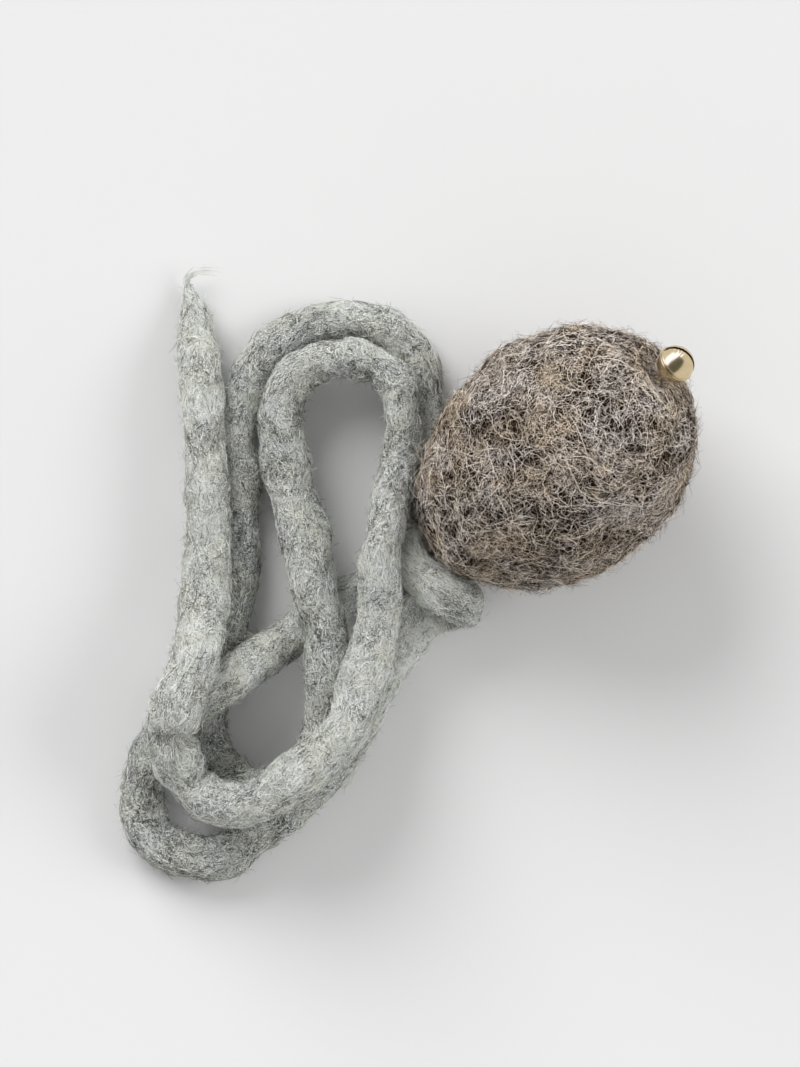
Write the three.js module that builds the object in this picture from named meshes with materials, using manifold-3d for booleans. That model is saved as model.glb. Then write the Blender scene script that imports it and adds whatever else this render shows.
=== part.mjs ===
// A cat toy of felted wool: an egg-shaped ball with a small jingle bell sewn to its upper end and a long
// limp cord growing out of its lower end, lying in loose loops on a flat surface.
// Millimetres, +Z up. The origin is the middle of the small flat that the ball rests on.
import * as THREE from "three";
import { mergeVertices } from "three/addons/utils/BufferGeometryUtils.js";
import Module from "manifold-3d";

const wasm = await Module();
wasm.setup();

// Clearances
const WOOL_GAP = 0.3; // between wool pieces that lie against each other
const METAL_GAP = 0.12; // between the bell's own pieces
const OVERRUN = 4; // how far a cutter reaches past what it cuts

// Ball: an egg whose long axis leaves the surface with the bell end up
const BALL_LENGTH = 67.6;
const BALL_WIDTH = 50.4;
const BALL_EGG_SHARE = 0.084; // how much wider the bell end is than the cord end
const BALL_TILT = THREE.MathUtils.degToRad(32);
const BALL_HEADING = THREE.MathUtils.degToRad(38.5); // of the bell end, from +X towards +Y
const REST_FLAT_DEPTH = 0.5;
const SKIN_WALL = 3.5;
const SKIN_SIDES = 36;
const SKIN_RINGS = 20;
const LINING_SIDES = 24;
const LINING_RINGS = 12;
const REST_SAMPLES = 720; // of the outline, to find its lowest point

// Bell: two thin half shells with a rolled lip where they meet
const BELL_DIAMETER = 7.8;
const BELL_WALL = 0.4;
const BELL_LIP = 0.2; // how far the lip stands out
const BELL_LIP_HEIGHT = 0.35; // of each half
const BELL_SEAM = 0.1; // between the halves
const BELL_SIDES = 28;
const BELL_ARC_STEPS = 7;
const BELL_TWIST = THREE.MathUtils.degToRad(13); // of the bell and its thread about the ball's long axis
const SLOT_WIDTH = 0.8;
const SLOT_START = 1.1; // from the seam to the middle of the slot's round ends
const SLOT_END_DIAMETER = 1.5;
const SLOT_END_SIDES = 12;

// Shank: a wire loop, its legs through the upper shell
const SHANK_WIRE = 0.7;
const SHANK_EYE = 1.2; // inner width of the loop
const SHANK_REACH = 0.8; // from the thread's middle to the shell
const SHANK_GRIP = 0.4; // how far its legs stand inside the shell
const SHANK_SIDES = 8;
const SHANK_ARC_STEPS = 6;
const SHANK_STEPS = 20;

// Pellet
const PELLET_DIAMETER = 2.8;
const PELLET_SIDES = 16;
const PELLET_RINGS = 10;

// Thread: a few passes of sewing thread, drawn through the shank and buried in the ball
const THREAD_DIAMETER = 0.8;
const THREAD_SINK = 0.5; // of its crossing below the end of the egg
const THREAD_SPREAD = 4; // between its two legs
const THREAD_DEPTH = 7; // of its ends below its crossing
const THREAD_SHOULDER = 1.5; // where its legs turn in towards the shank
const THREAD_SHOULDER_SHARE = 0.85; // of the spread, at the shoulder
const THREAD_SIDES = 8;
const THREAD_STEPS = 24;

// Dent that the thread pulls into the felt under the bell
const DENT_WIDTH = 9;
const DENT_DEPTH = 2.2;
const DENT_SIDES = 20;
const DENT_RINGS = 12;

// Cord
const CORD_DIAMETER = 9;
const CORD_SIDES = 8;
const CORD_STEPS = 200;
const CORD_TIP_LENGTH = 12;
const CORD_TIP_LAP = 2; // how far the tip's root reaches into the cord
const CORD_TIP_SHARES = [
  [0, 0.97],
  [0.3, 0.86],
  [0.62, 0.6],
  [0.86, 0.28],
  [1, 0.08],
]; // along the tip's length, and of the cord's radius
const CORD_TIP_DROOP_SHARE = 0.2; // of the tip's level run, that it sinks by
const CORD_SOCKET_POINTS = 6; // of the route, from the end in the ball, that the hole for it follows
const GAP_SAMPLES = 720;
const GAP_APART = 17; // the least length of cord between two places whose gap is measured

// The cord's middle line, from its loose tip to the end buried in the ball
const CORD_ROUTE = [
  [-68.0, 30.4, 4.6],
  [-67.2, 21.0, 8.4],
  [-66.6, 9.5, 11.3],
  [-66.0, -3.0, 12.0],
  [-65.7, -15.6, 12.6],
  [-67.2, -28.1, 15.5],
  [-69.3, -38.1, 22.4],
  [-71.8, -45.9, 24.2],
  [-73.5, -51.9, 22.8],
  [-72.0, -58.6, 17.8],
  [-67.4, -64.2, 16.2],
  [-60.7, -66.3, 19.4],
  [-53.2, -64.7, 22.8],
  [-45.7, -59.9, 24.8],
  [-39.4, -54.0, 24.0],
  [-35.0, -46.1, 22.4],
  [-31.9, -36.5, 20.4],
  [-30.2, -25.6, 21.5],
  [-29.4, -15.6, 24.4],
  [-28.1, -5.1, 20.8],
  [-26.2, 4.3, 15.2],
  [-25.2, 14.8, 14.3],
  [-27.9, 22.5, 12.4],
  [-36.7, 26.5, 10.6],
  [-45.9, 24.2, 10.7],
  [-50.5, 15.8, 10.0],
  [-49.0, 3.3, 9.4],
  [-45.9, -9.3, 11.4],
  [-43.2, -21.8, 14.8],
  [-41.3, -34.4, 14.4],
  [-41.1, -45.9, 14.6],
  [-42.8, -54.8, 14.6],
  [-48.0, -61.5, 14.6],
  [-55.3, -63.6, 11.6],
  [-62.0, -61.1, 6.0],
  [-66.0, -54.2, 4.7],
  [-65.7, -44.8, 4.7],
  [-62.8, -33.3, 4.7],
  [-59.7, -19.7, 4.7],
  [-59.1, -3.0, 4.7],
  [-59.1, 11.6, 4.7],
  [-57.4, 22.1, 4.7],
  [-49.9, 30.8, 4.7],
  [-37.5, 34.8, 4.7],
  [-26.0, 30.8, 4.7],
  [-20.8, 22.1, 4.7],
  [-22.1, 9.5, 4.7],
  [-24.6, -0.9, 5.2],
  [-25.6, -8.9, 11.6],
  [-23.1, -16.0, 15.6],
  [-19.1, -19.9, 16.2],
  [-16.8, -21.8, 16.3],
  [-13.7, -24.3, 14.7],
  [-12.2, -25.6, 10.5],
  [-13.9, -25.9, 6.3],
  [-17.9, -26.7, 4.7],
  [-21.9, -28.9, 4.7],
  [-26.0, -34.8, 4.7],
  [-33.1, -46.3, 4.7],
  [-40.5, -58.6, 4.7],
  [-51.7, -69.9, 4.7],
  [-64.9, -77.8, 4.7],
  [-76.4, -75.3, 4.7],
  [-79.8, -65.5, 4.7],
  [-77.0, -56.1, 7.2],
  [-69.9, -46.5, 14.2],
  [-61.2, -40.0, 14.3],
  [-49.7, -32.3, 6.8],
  [-38.2, -24.3, 4.8],
  [-27.3, -18.5, 4.8],
  [-20.6, -15.1, 5.1],
  [-16.4, -12.2, 8.6],
  [-12.2, -9.1, 12.2],
  [-8.3, -6.1, 15.2],
];

const brownWool = new THREE.MeshStandardMaterial({ color: 0x7f766f, roughness: 1, metalness: 0 });
const wadding = new THREE.MeshStandardMaterial({ color: 0x978d84, roughness: 1, metalness: 0 });
const greyWool = new THREE.MeshStandardMaterial({ color: 0xa7aaa4, roughness: 1, metalness: 0 });
const paleBrass = new THREE.MeshStandardMaterial({ color: 0xcdbf97, roughness: 0.22, metalness: 1 });
const steel = new THREE.MeshStandardMaterial({ color: 0xb4b4b0, roughness: 0.3, metalness: 1 });
const sewingThread = new THREE.MeshStandardMaterial({ color: 0x655c55, roughness: 0.8, metalness: 0 });

// A closed geometry as a solid with its faces pointing out
function solidOf(geometry) {
  const bare = new THREE.BufferGeometry();
  bare.setAttribute("position", geometry.getAttribute("position").clone());
  bare.setIndex(geometry.index ? geometry.index.clone() : null);
  const merged = mergeVertices(bare, 1e-4);
  const vertProperties = new Float32Array(merged.getAttribute("position").array);
  const corners = Array.from(merged.index.array);
  const triVerts = [];
  for (let i = 0; i < corners.length; i += 3) {
    const [a, b, c] = corners.slice(i, i + 3);
    if (a !== b && b !== c && c !== a) triVerts.push(a, b, c);
  }
  const made = meshSolid(vertProperties, triVerts);
  return made.volume() < 0 ? meshSolid(vertProperties, triVerts.reverse()) : made;
}

function meshSolid(vertProperties, triVerts) {
  return new wasm.Manifold(
    new wasm.Mesh({ numProp: 3, vertProperties, triVerts: new Uint32Array(triVerts) }),
  );
}

// A solid as a named mesh with flat faces
function meshOf(name, solid, material) {
  const { vertProperties, triVerts } = solid.getMesh();
  const geometry = new THREE.BufferGeometry();
  geometry.setAttribute("position", new THREE.BufferAttribute(vertProperties, 3));
  geometry.setIndex(new THREE.BufferAttribute(triVerts, 1));
  const mesh = new THREE.Mesh(geometry.toNonIndexed(), material);
  mesh.geometry.computeVertexNormals();
  mesh.name = name;
  return mesh;
}

// The section of a round cord, wire or thread
function roundSection(diameter, sides) {
  const corners = [];
  for (let i = 0; i < sides; i += 1) {
    const turn = (2 * Math.PI * i) / sides;
    corners.push(new THREE.Vector2(Math.cos(turn), Math.sin(turn)).multiplyScalar(diameter / 2));
  }
  return new THREE.Shape(corners);
}

// A round bar along a smooth line through points
function barAlong(points, diameter, sides, steps) {
  const extrudePath = new THREE.CatmullRomCurve3(points, false, "centripetal");
  const geometry = new THREE.ExtrudeGeometry(roundSection(diameter, sides), { steps, extrudePath });
  return solidOf(geometry);
}

// A point of the egg's outline: its distance from the long axis, and its place along it
function eggPoint(halfLength, halfWidth, turn) {
  const along = -Math.cos(turn);
  const out = Math.sin(turn) * (1 + BALL_EGG_SHARE * along);
  return new THREE.Vector2(halfWidth * out, halfLength * along);
}

// An egg turned about +Y, whose surface lies a given depth below the ball's
function eggSolid(depth, sides, rings) {
  const outline = [];
  for (let i = 0; i <= rings; i += 1) {
    const point = eggPoint(BALL_LENGTH / 2 - depth, BALL_WIDTH / 2 - depth, (Math.PI * i) / rings);
    outline.push(point.setX(i === 0 || i === rings ? 0 : point.x));
  }
  return solidOf(new THREE.LatheGeometry(outline, sides));
}

// The frame of the ball: +Y along its long axis to the bell, +X level, its middle over the resting flat
function ballFrame() {
  const flatAlong = new THREE.Vector3(Math.cos(BALL_HEADING), Math.sin(BALL_HEADING), 0);
  const up = new THREE.Vector3(0, 0, 1);
  const axis = flatAlong.clone().multiplyScalar(Math.cos(BALL_TILT)).addScaledVector(up, Math.sin(BALL_TILT));
  const level = new THREE.Vector3().crossVectors(flatAlong, up);
  const crown = new THREE.Vector3().crossVectors(level, axis);
  let lowest = Infinity;
  let shift = 0;
  for (let i = 0; i <= REST_SAMPLES; i += 1) {
    const point = eggPoint(BALL_LENGTH / 2, BALL_WIDTH / 2, (Math.PI * i) / REST_SAMPLES);
    const height = point.y * Math.sin(BALL_TILT) - point.x * Math.cos(BALL_TILT);
    if (height < lowest) {
      lowest = height;
      shift = -(point.y * Math.cos(BALL_TILT) + point.x * Math.sin(BALL_TILT));
    }
  }
  const middle = flatAlong.multiplyScalar(shift).setZ(-lowest - REST_FLAT_DEPTH);
  return new THREE.Matrix4().makeBasis(level, axis, crown).setPosition(middle);
}

// Everything below the surface that the toy lies on, in the ball's frame
function groundSolid(frame) {
  const size = BALL_LENGTH + OVERRUN;
  const ground = new THREE.BoxGeometry(size, size, OVERRUN).translate(0, 0, -OVERRUN / 2);
  return solidOf(ground.applyMatrix4(frame.clone().invert()));
}

const routePoints = () => CORD_ROUTE.map((point) => new THREE.Vector3(...point));

// The hole that the buried end of the cord sits in, in the ball's frame
function cordSocket(frame) {
  const points = routePoints().slice(-CORD_SOCKET_POINTS);
  const last = points[points.length - 1];
  const inward = last.clone().sub(points[points.length - 2]).normalize();
  last.addScaledVector(inward, WOOL_GAP);
  const steps = CORD_SOCKET_POINTS * 2;
  const inverse = frame.clone().invert();
  const placed = points.map((point) => point.applyMatrix4(inverse));
  return barAlong(placed, CORD_DIAMETER + 2 * WOOL_GAP, CORD_SIDES * 2, steps);
}

// The dent under the bell: part of a ball whose rim is the dent's width and whose foot its depth
function dentSolid() {
  const radius = (DENT_WIDTH * DENT_WIDTH) / (8 * DENT_DEPTH) + DENT_DEPTH / 2;
  const dent = new THREE.SphereGeometry(radius, DENT_SIDES, DENT_RINGS);
  return solidOf(dent.translate(0, BALL_LENGTH / 2 - DENT_DEPTH + radius, 0));
}

// The thread, up out of the ball, through the shank's eye and back, lying along +X, from the eye's middle
function threadSolid(clearance) {
  const leg = THREAD_SPREAD / 2;
  const shoulder = leg * THREAD_SHOULDER_SHARE;
  const depth = THREAD_DEPTH + clearance;
  const points = [
    new THREE.Vector3(-leg, -depth, 0),
    new THREE.Vector3(-leg, -depth / 2, 0),
    new THREE.Vector3(-shoulder, -THREAD_SHOULDER, 0),
    new THREE.Vector3(0, 0, 0),
    new THREE.Vector3(shoulder, -THREAD_SHOULDER, 0),
    new THREE.Vector3(leg, -depth / 2, 0),
    new THREE.Vector3(leg, -depth, 0),
  ];
  return barAlong(points, THREAD_DIAMETER + 2 * clearance, THREAD_SIDES, THREAD_STEPS);
}

// The bell's middle, from the thread that it hangs on
const bellMiddle = SHANK_REACH + BELL_DIAMETER / 2;

// A half shell of the bell turned about +Y, facing the ball (-1) or away from it (1)
function halfShell(side) {
  const outer = BELL_DIAMETER / 2;
  const inner = outer - BELL_WALL;
  const seam = BELL_SEAM / 2;
  const lipFoot = seam + BELL_LIP_HEIGHT;
  const outline = [];
  const arc = (radius, start, end) => {
    const first = Math.asin(start / radius);
    const last = Math.asin(end / radius);
    for (let i = 0; i <= BELL_ARC_STEPS; i += 1) {
      const turn = first + ((last - first) * i) / BELL_ARC_STEPS;
      outline.push(new THREE.Vector2(radius * Math.cos(turn), radius * Math.sin(turn)));
    }
  };
  arc(outer, outer, lipFoot);
  outline.push(new THREE.Vector2(outer + BELL_LIP, lipFoot));
  outline.push(new THREE.Vector2(outer + BELL_LIP, seam));
  arc(inner, seam, inner);
  outline[0].setX(0);
  outline[outline.length - 1].setX(0);
  const placed = outline.map((point) => new THREE.Vector2(point.x, bellMiddle + side * point.y));
  return solidOf(new THREE.LatheGeometry(placed, BELL_SIDES));
}

// The shank's wire: two legs and a half turn round the thread, in the plane across it
function shankSolid(clearance) {
  const bend = (SHANK_EYE + SHANK_WIRE) / 2;
  const inner = BELL_DIAMETER / 2 - BELL_WALL;
  const top = bellMiddle - Math.sqrt(inner * inner - bend * bend) + SHANK_GRIP + clearance;
  const points = [new THREE.Vector3(0, top, bend), new THREE.Vector3(0, top / 2, bend)];
  for (let i = 0; i <= SHANK_ARC_STEPS; i += 1) {
    const turn = (Math.PI * i) / SHANK_ARC_STEPS;
    points.push(new THREE.Vector3(0, -bend * Math.sin(turn), bend * Math.cos(turn)));
  }
  points.push(new THREE.Vector3(0, top / 2, -bend), new THREE.Vector3(0, top, -bend));
  return barAlong(points, SHANK_WIRE + 2 * clearance, SHANK_SIDES, SHANK_STEPS);
}

// The sound slot, level across the end of the bell, and its round ends
function slotSolid() {
  const reach = BELL_DIAMETER + 2 * OVERRUN;
  const height = BELL_DIAMETER / 2 + OVERRUN - SLOT_START;
  const slot = new THREE.BoxGeometry(reach, height, SLOT_WIDTH);
  slot.translate(0, bellMiddle + SLOT_START + height / 2, 0);
  const ends = new THREE.CylinderGeometry(SLOT_END_DIAMETER / 2, SLOT_END_DIAMETER / 2, reach, SLOT_END_SIDES);
  ends.rotateZ(Math.PI / 2).translate(0, bellMiddle + SLOT_START, 0);
  return solidOf(slot).add(solidOf(ends));
}

// The pellet, where it comes to lie: straight below the bell's middle
function pelletMesh() {
  const drop = BELL_DIAMETER / 2 - BELL_WALL - PELLET_DIAMETER / 2 - METAL_GAP;
  const shape = new THREE.SphereGeometry(PELLET_DIAMETER / 2, PELLET_SIDES, PELLET_RINGS);
  const pellet = meshOf("bell_pellet", solidOf(shape), steel);
  pellet.position.set(0, bellMiddle - drop * Math.sin(BALL_TILT), -drop * Math.cos(BALL_TILT));
  return pellet;
}

// The place of the thread's crossing, in the ball's frame
function bellPlace() {
  const turn = new THREE.Matrix4().makeRotationY(BELL_TWIST);
  return turn.setPosition(0, BALL_LENGTH / 2 - THREAD_SINK, 0);
}

function makeBell() {
  const bell = new THREE.Group();
  bell.applyMatrix4(bellPlace());
  const topShell = halfShell(-1).subtract(shankSolid(METAL_GAP));
  bell.add(meshOf("bell_top_shell", topShell, paleBrass));
  bell.add(meshOf("bell_slotted_shell", halfShell(1).subtract(slotSolid()), paleBrass));
  bell.add(meshOf("bell_shank", shankSolid(0), paleBrass));
  bell.add(meshOf("bell_thread", threadSolid(0), sewingThread));
  bell.add(pelletMesh());
  return bell;
}

function makeBall(frame) {
  const ball = new THREE.Group();
  const threadHole = threadSolid(WOOL_GAP).transform(bellPlace().elements);
  const holes = cordSocket(frame).add(threadHole);
  const skin = eggSolid(0, SKIN_SIDES, SKIN_RINGS)
    .subtract(eggSolid(SKIN_WALL, LINING_SIDES, LINING_RINGS))
    .subtract(holes)
    .subtract(dentSolid())
    .subtract(groundSolid(frame));
  const core = eggSolid(SKIN_WALL + WOOL_GAP, LINING_SIDES, LINING_RINGS).subtract(holes);
  ball.add(meshOf("ball_felt_skin", skin, brownWool));
  ball.add(meshOf("ball_core", core, wadding));
  ball.add(makeBell());
  frame.decompose(ball.position, ball.quaternion, ball.scale);
  return ball;
}

// The pointed tip of the cord, leading on from its first stretch and drooping to the surface
function cordTip(points) {
  const lead = points[0].clone().sub(points[1]).setZ(0).normalize();
  const direction = lead.setZ(-CORD_TIP_DROOP_SHARE).normalize();
  const radius = CORD_DIAMETER / 2;
  const outline = [new THREE.Vector2(0, -CORD_TIP_LAP)];
  outline.push(new THREE.Vector2(radius * CORD_TIP_SHARES[0][1], -CORD_TIP_LAP));
  for (const [along, out] of CORD_TIP_SHARES) {
    outline.push(new THREE.Vector2(radius * out, CORD_TIP_LENGTH * along));
  }
  outline.push(new THREE.Vector2(0, CORD_TIP_LENGTH));
  const turn = new THREE.Quaternion().setFromUnitVectors(new THREE.Vector3(0, 1, 0), direction);
  const tip = new THREE.LatheGeometry(outline, CORD_SIDES * 2).applyQuaternion(turn);
  return solidOf(tip.translate(points[0].x, points[0].y, points[0].z));
}

// The least gap between two places of the cord that lie beside or over each other
function leastGap(curve) {
  const places = curve.getSpacedPoints(GAP_SAMPLES);
  const apart = Math.ceil((GAP_APART * GAP_SAMPLES) / curve.getLength());
  let least = Infinity;
  for (let i = 0; i < places.length; i += 1) {
    for (let j = i + apart; j < places.length; j += 1) {
      least = Math.min(least, places[i].distanceTo(places[j]));
    }
  }
  return least - CORD_DIAMETER;
}

function makeCord() {
  const points = routePoints();
  const curve = new THREE.CatmullRomCurve3(points, false, "centripetal");
  curve.arcLengthDivisions = GAP_SAMPLES * 4;
  console.log(`cord length ${curve.getLength().toFixed(1)} mm and ${CORD_TIP_LENGTH} mm of tip`);
  console.log(`least gap of the cord to itself ${leastGap(curve).toFixed(2)} mm`);
  const cord = barAlong(points, CORD_DIAMETER, CORD_SIDES, CORD_STEPS).add(cordTip(points));
  return meshOf("felt_cord", cord, greyWool);
}

const group = new THREE.Group();
group.add(makeBall(ballFrame()), makeCord());

export default group;
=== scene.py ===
"""Looks of a felted cat toy: an egg-shaped ball with a small jingle bell and a long limp cord."""

import logging
import math
from collections.abc import Callable
from dataclasses import dataclass, field
from enum import Enum

import bpy
import numpy as np
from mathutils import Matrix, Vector


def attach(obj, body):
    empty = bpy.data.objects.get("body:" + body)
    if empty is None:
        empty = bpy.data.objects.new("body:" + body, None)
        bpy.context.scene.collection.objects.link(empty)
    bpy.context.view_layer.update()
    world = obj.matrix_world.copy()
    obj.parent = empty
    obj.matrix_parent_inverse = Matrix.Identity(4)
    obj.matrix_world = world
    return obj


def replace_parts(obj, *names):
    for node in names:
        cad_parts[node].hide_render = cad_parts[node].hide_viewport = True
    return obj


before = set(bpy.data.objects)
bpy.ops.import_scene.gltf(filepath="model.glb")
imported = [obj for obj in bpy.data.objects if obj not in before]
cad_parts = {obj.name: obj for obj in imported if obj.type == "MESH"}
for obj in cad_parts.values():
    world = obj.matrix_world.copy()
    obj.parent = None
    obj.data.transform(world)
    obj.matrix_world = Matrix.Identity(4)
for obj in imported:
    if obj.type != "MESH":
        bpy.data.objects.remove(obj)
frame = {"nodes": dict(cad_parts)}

MM = 0.001
TURN = 2 * np.pi
SPAN_STEPS = 12
log = logging.getLogger("wool_bell_ball")


def linear(hex_colour: str) -> tuple[float, float, float, float]:
    """A screen colour as the linear colour that a shader takes.

    A part c of it becomes c / 12.92 up to 0.04045, and (c + 0.055) / 1.055 to the power of 2.4 above that.

    Args:
        hex_colour: Six hexadecimal digits.

    Returns:
        Red, green, blue and an alpha of 1.
    """
    screen = [int(hex_colour[i : i + 2], 16) / 255 for i in (0, 2, 4)]
    return (*[c / 12.92 if c <= 0.04045 else ((c + 0.055) / 1.055) ** 2.4 for c in screen], 1.0)


def unit(vectors: np.ndarray) -> np.ndarray:
    """Vectors divided by their lengths, along the last axis."""
    return vectors / np.maximum(np.linalg.norm(vectors, axis=-1, keepdims=True), 1e-12)


def ease(share: np.ndarray) -> np.ndarray:
    """A share clipped to 0 to 1 and eased at both ends, by 3 t squared less 2 t cubed."""
    t = np.clip(share, 0, 1)
    return t * t * (3 - 2 * t)


def round_angles(count: int) -> np.ndarray:
    """Even angles once round, from 0 to a step short of a full turn."""
    return np.linspace(0, TURN, count, endpoint=False)


def swung(angle: np.ndarray, first: np.ndarray, second: np.ndarray) -> np.ndarray:
    """Directions at angles from a first towards a second: cos times the first plus sin times the second."""
    return np.cos(angle)[..., None] * first + np.sin(angle)[..., None] * second


def read_off(places: np.ndarray, run: np.ndarray, table: np.ndarray) -> np.ndarray:
    """A table read at places between its rows, in straight lines from row to row.

    Args:
        places: Where it is read, as distances like those of the rows.
        run: Each row's distance.
        table: A number or an x, y, z for each row.

    Returns:
        The numbers, or x, y, z along a last axis, for every place.
    """
    if table.ndim == 1:
        return np.interp(places, run, table)
    return np.stack([np.interp(places, run, column) for column in table.T], -1)


@dataclass(frozen=True)
class Swells:
    """A smooth uneven field: the sum of plane waves in random directions.

    Its value at a point is the sum of cos(k . point + phase) over the waves, divided by the square root of
    half their number, so that it mostly lies between -1.5 and 1.5.
    """

    wavelength: float
    seed: int
    waves: int = 14
    pitch_shares: tuple[float, float] = (0.75, 1.35)

    def at(self, points: np.ndarray) -> np.ndarray:
        """The field's values.

        Args:
            points: Points of any array shape whose last axis is x, y, z.

        Returns:
            A value for each point.
        """
        rng = np.random.default_rng(self.seed)
        heading = unit(rng.normal(size=(self.waves, 3)))
        pitch = rng.uniform(*self.pitch_shares, size=(self.waves, 1))
        phase = rng.uniform(0, TURN, size=self.waves)
        turns = points @ (heading * pitch * TURN / self.wavelength).T + phase
        return np.cos(turns).sum(axis=-1) / math.sqrt(self.waves / 2)


@dataclass(frozen=True)
class Bulge:
    """One soft swelling: 1 at its middle, falling off as a bell curve of the distance over the spread."""

    middle: tuple[float, float, float]
    spread: float

    def at(self, points: np.ndarray) -> np.ndarray:
        """Its value at points of any array shape whose last axis is x, y, z."""
        return np.exp(-(((points - np.array(self.middle)) / self.spread) ** 2).sum(axis=-1))


def mesh_object(name: str, points: np.ndarray, faces: np.ndarray) -> bpy.types.Object:
    """A smooth mesh object from arrays, with its place in its mesh.

    Args:
        name: The piece's name.
        points: Corners, n by 3, in metres.
        faces: Corner numbers, m by 3 or m by 4.

    Returns:
        The object, linked to the scene.
    """
    mesh = bpy.data.meshes.new(name)
    mesh.vertices.add(len(points))
    mesh.vertices.foreach_set("co", np.asarray(points, np.float32).ravel())
    mesh.loops.add(faces.size)
    mesh.loops.foreach_set("vertex_index", np.asarray(faces, np.int32).ravel())
    mesh.polygons.add(len(faces))
    mesh.polygons.foreach_set("loop_start", np.arange(0, faces.size, faces.shape[1], dtype=np.int32))
    mesh.update(calc_edges=True)
    mesh.validate()
    mesh.polygons.foreach_set("use_smooth", np.ones(len(mesh.polygons), bool))
    piece = bpy.data.objects.new(name, mesh)
    bpy.context.scene.collection.objects.link(piece)
    return piece


def mark(piece: bpy.types.Object, name: str, values: np.ndarray) -> None:
    """Gives a piece's points a number each, for its material to read."""
    piece.data.attributes.new(name, "FLOAT", "POINT").data.foreach_set("value", values.astype(np.float32))


def ring_faces(rings: int, sides: int) -> np.ndarray:
    """The quads between neighbouring closed rings of a tube whose corners are numbered ring by ring.

    Args:
        rings: The number of rings.
        sides: The number of corners in a ring.

    Returns:
        The quads' corner numbers, n by 4.
    """
    ring = np.arange(rings - 1)[:, None] * sides
    side = np.arange(sides)[None, :]
    after = (side + 1) % sides
    return np.stack([ring + side, ring + after, ring + sides + after, ring + sides + side], -1).reshape(-1, 4)


def halved(quads: np.ndarray) -> np.ndarray:
    """Quads cut in two along a diagonal: first all their first halves, then the others."""
    return np.concatenate([quads[:, [0, 1, 2]], quads[:, [0, 2, 3]]])


def closed_skin(rings: np.ndarray, flip: bool = False) -> tuple[np.ndarray, np.ndarray]:
    """A closed skin over rings of points, with its ends drawn together to their middles.

    Args:
        rings: Points, ring by ring, rings by sides by 3.
        flip: Whether the faces are turned round.

    Returns:
        The points and the triangles.
    """
    count, sides, _ = rings.shape
    points = np.concatenate([rings.reshape(-1, 3), rings[:1].mean(axis=1), rings[-1:].mean(axis=1)])
    side = np.arange(sides)
    after = (side + 1) % sides
    top = (count - 1) * sides
    foot = np.stack([np.full(sides, count * sides), after, side], -1)
    head = np.stack([np.full(sides, count * sides + 1), top + side, top + after], -1)
    triangles = np.concatenate([halved(ring_faces(count, sides)), foot, head])
    return points, triangles[:, ::-1] if flip else triangles


def closed_tube(name: str, rings: np.ndarray, flip: bool = False) -> bpy.types.Object:
    """An object with a closed skin over rings of points."""
    return mesh_object(name, *closed_skin(rings, flip))


def revolved(profile: np.ndarray, sides: int) -> np.ndarray:
    """The rings that a profile's points make when they go round Y: out cos t, along, out sin t.

    Args:
        profile: Distances out from the axis and places along it, n by 2.
        sides: The number of points in a ring.

    Returns:
        The rings, n by sides by 3.
    """
    about = round_angles(sides)[None, :]
    out, along = profile[:, :1], profile[:, 1:]
    return np.stack([out * np.cos(about), along + 0 * about, out * np.sin(about)], -1)


def smooth_line(points: np.ndarray, steps: int = SPAN_STEPS) -> np.ndarray:
    """The centripetal Catmull-Rom line through points, as the solids follow it.

    Between two points it is a cubic whose end slopes come from the neighbours, each span weighted by the
    square root of its length.

    Args:
        points: The points that it passes through, n by 3.
        steps: The number of steps between two of them.

    Returns:
        Points on the line.
    """
    padded = np.concatenate([2 * points[:1] - points[1:2], points, 2 * points[-1:] - points[-2:-1]])
    p0, p1, p2, p3 = padded[:-3], padded[1:-2], padded[2:-1], padded[3:]
    d0, d1, d2 = (np.sqrt(np.linalg.norm(b - a, axis=1))[:, None] for a, b in ((p0, p1), (p1, p2), (p2, p3)))
    start = ((p1 - p0) / d0 - (p2 - p0) / (d0 + d1) + (p2 - p1) / d1) * d1
    end = ((p2 - p1) / d1 - (p3 - p1) / (d1 + d2) + (p3 - p2) / d2) * d1
    square = -3 * p1 + 3 * p2 - 2 * start - end
    cube = 2 * p1 - 2 * p2 + start + end
    t = (np.arange(steps) / steps)[None, :, None]
    spans = p1[:, None] + start[:, None] * t + square[:, None] * t**2 + cube[:, None] * t**3
    return np.concatenate([spans.reshape(-1, 3), points[-1:]])


def run_along(line: np.ndarray) -> np.ndarray:
    """The distance along a line to each of its points."""
    return np.concatenate([[0.0], np.cumsum(np.linalg.norm(np.diff(line, axis=0), axis=1))])


def carried_frame(line: np.ndarray) -> tuple[np.ndarray, np.ndarray, np.ndarray]:
    """The direction of a line and two directions across it, carried along it without twist.

    Each step takes the last side direction, less its part along the new direction of the line. The first is
    square to a direction near the vertical, along which no line here starts.

    Args:
        line: Points along the line.

    Returns:
        The direction ahead, the side direction and the one square to both, at each point.
    """
    near_vertical = (0.12, 0.05, 1.0)
    ahead = unit(np.gradient(line, axis=0))
    side = np.empty_like(ahead)
    last = np.cross(ahead[0], near_vertical)
    for i, direction in enumerate(ahead):
        last = last - direction * (last @ direction)
        last = last / np.linalg.norm(last)
        side[i] = last
    return ahead, side, np.cross(side, ahead)


class Layer(Enum):
    """How a layer of loose fibres lies."""

    MATTED = "both ends are tucked in and the middle arches up"
    LOOSE = "one end is tucked in and the other stands off"


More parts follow.
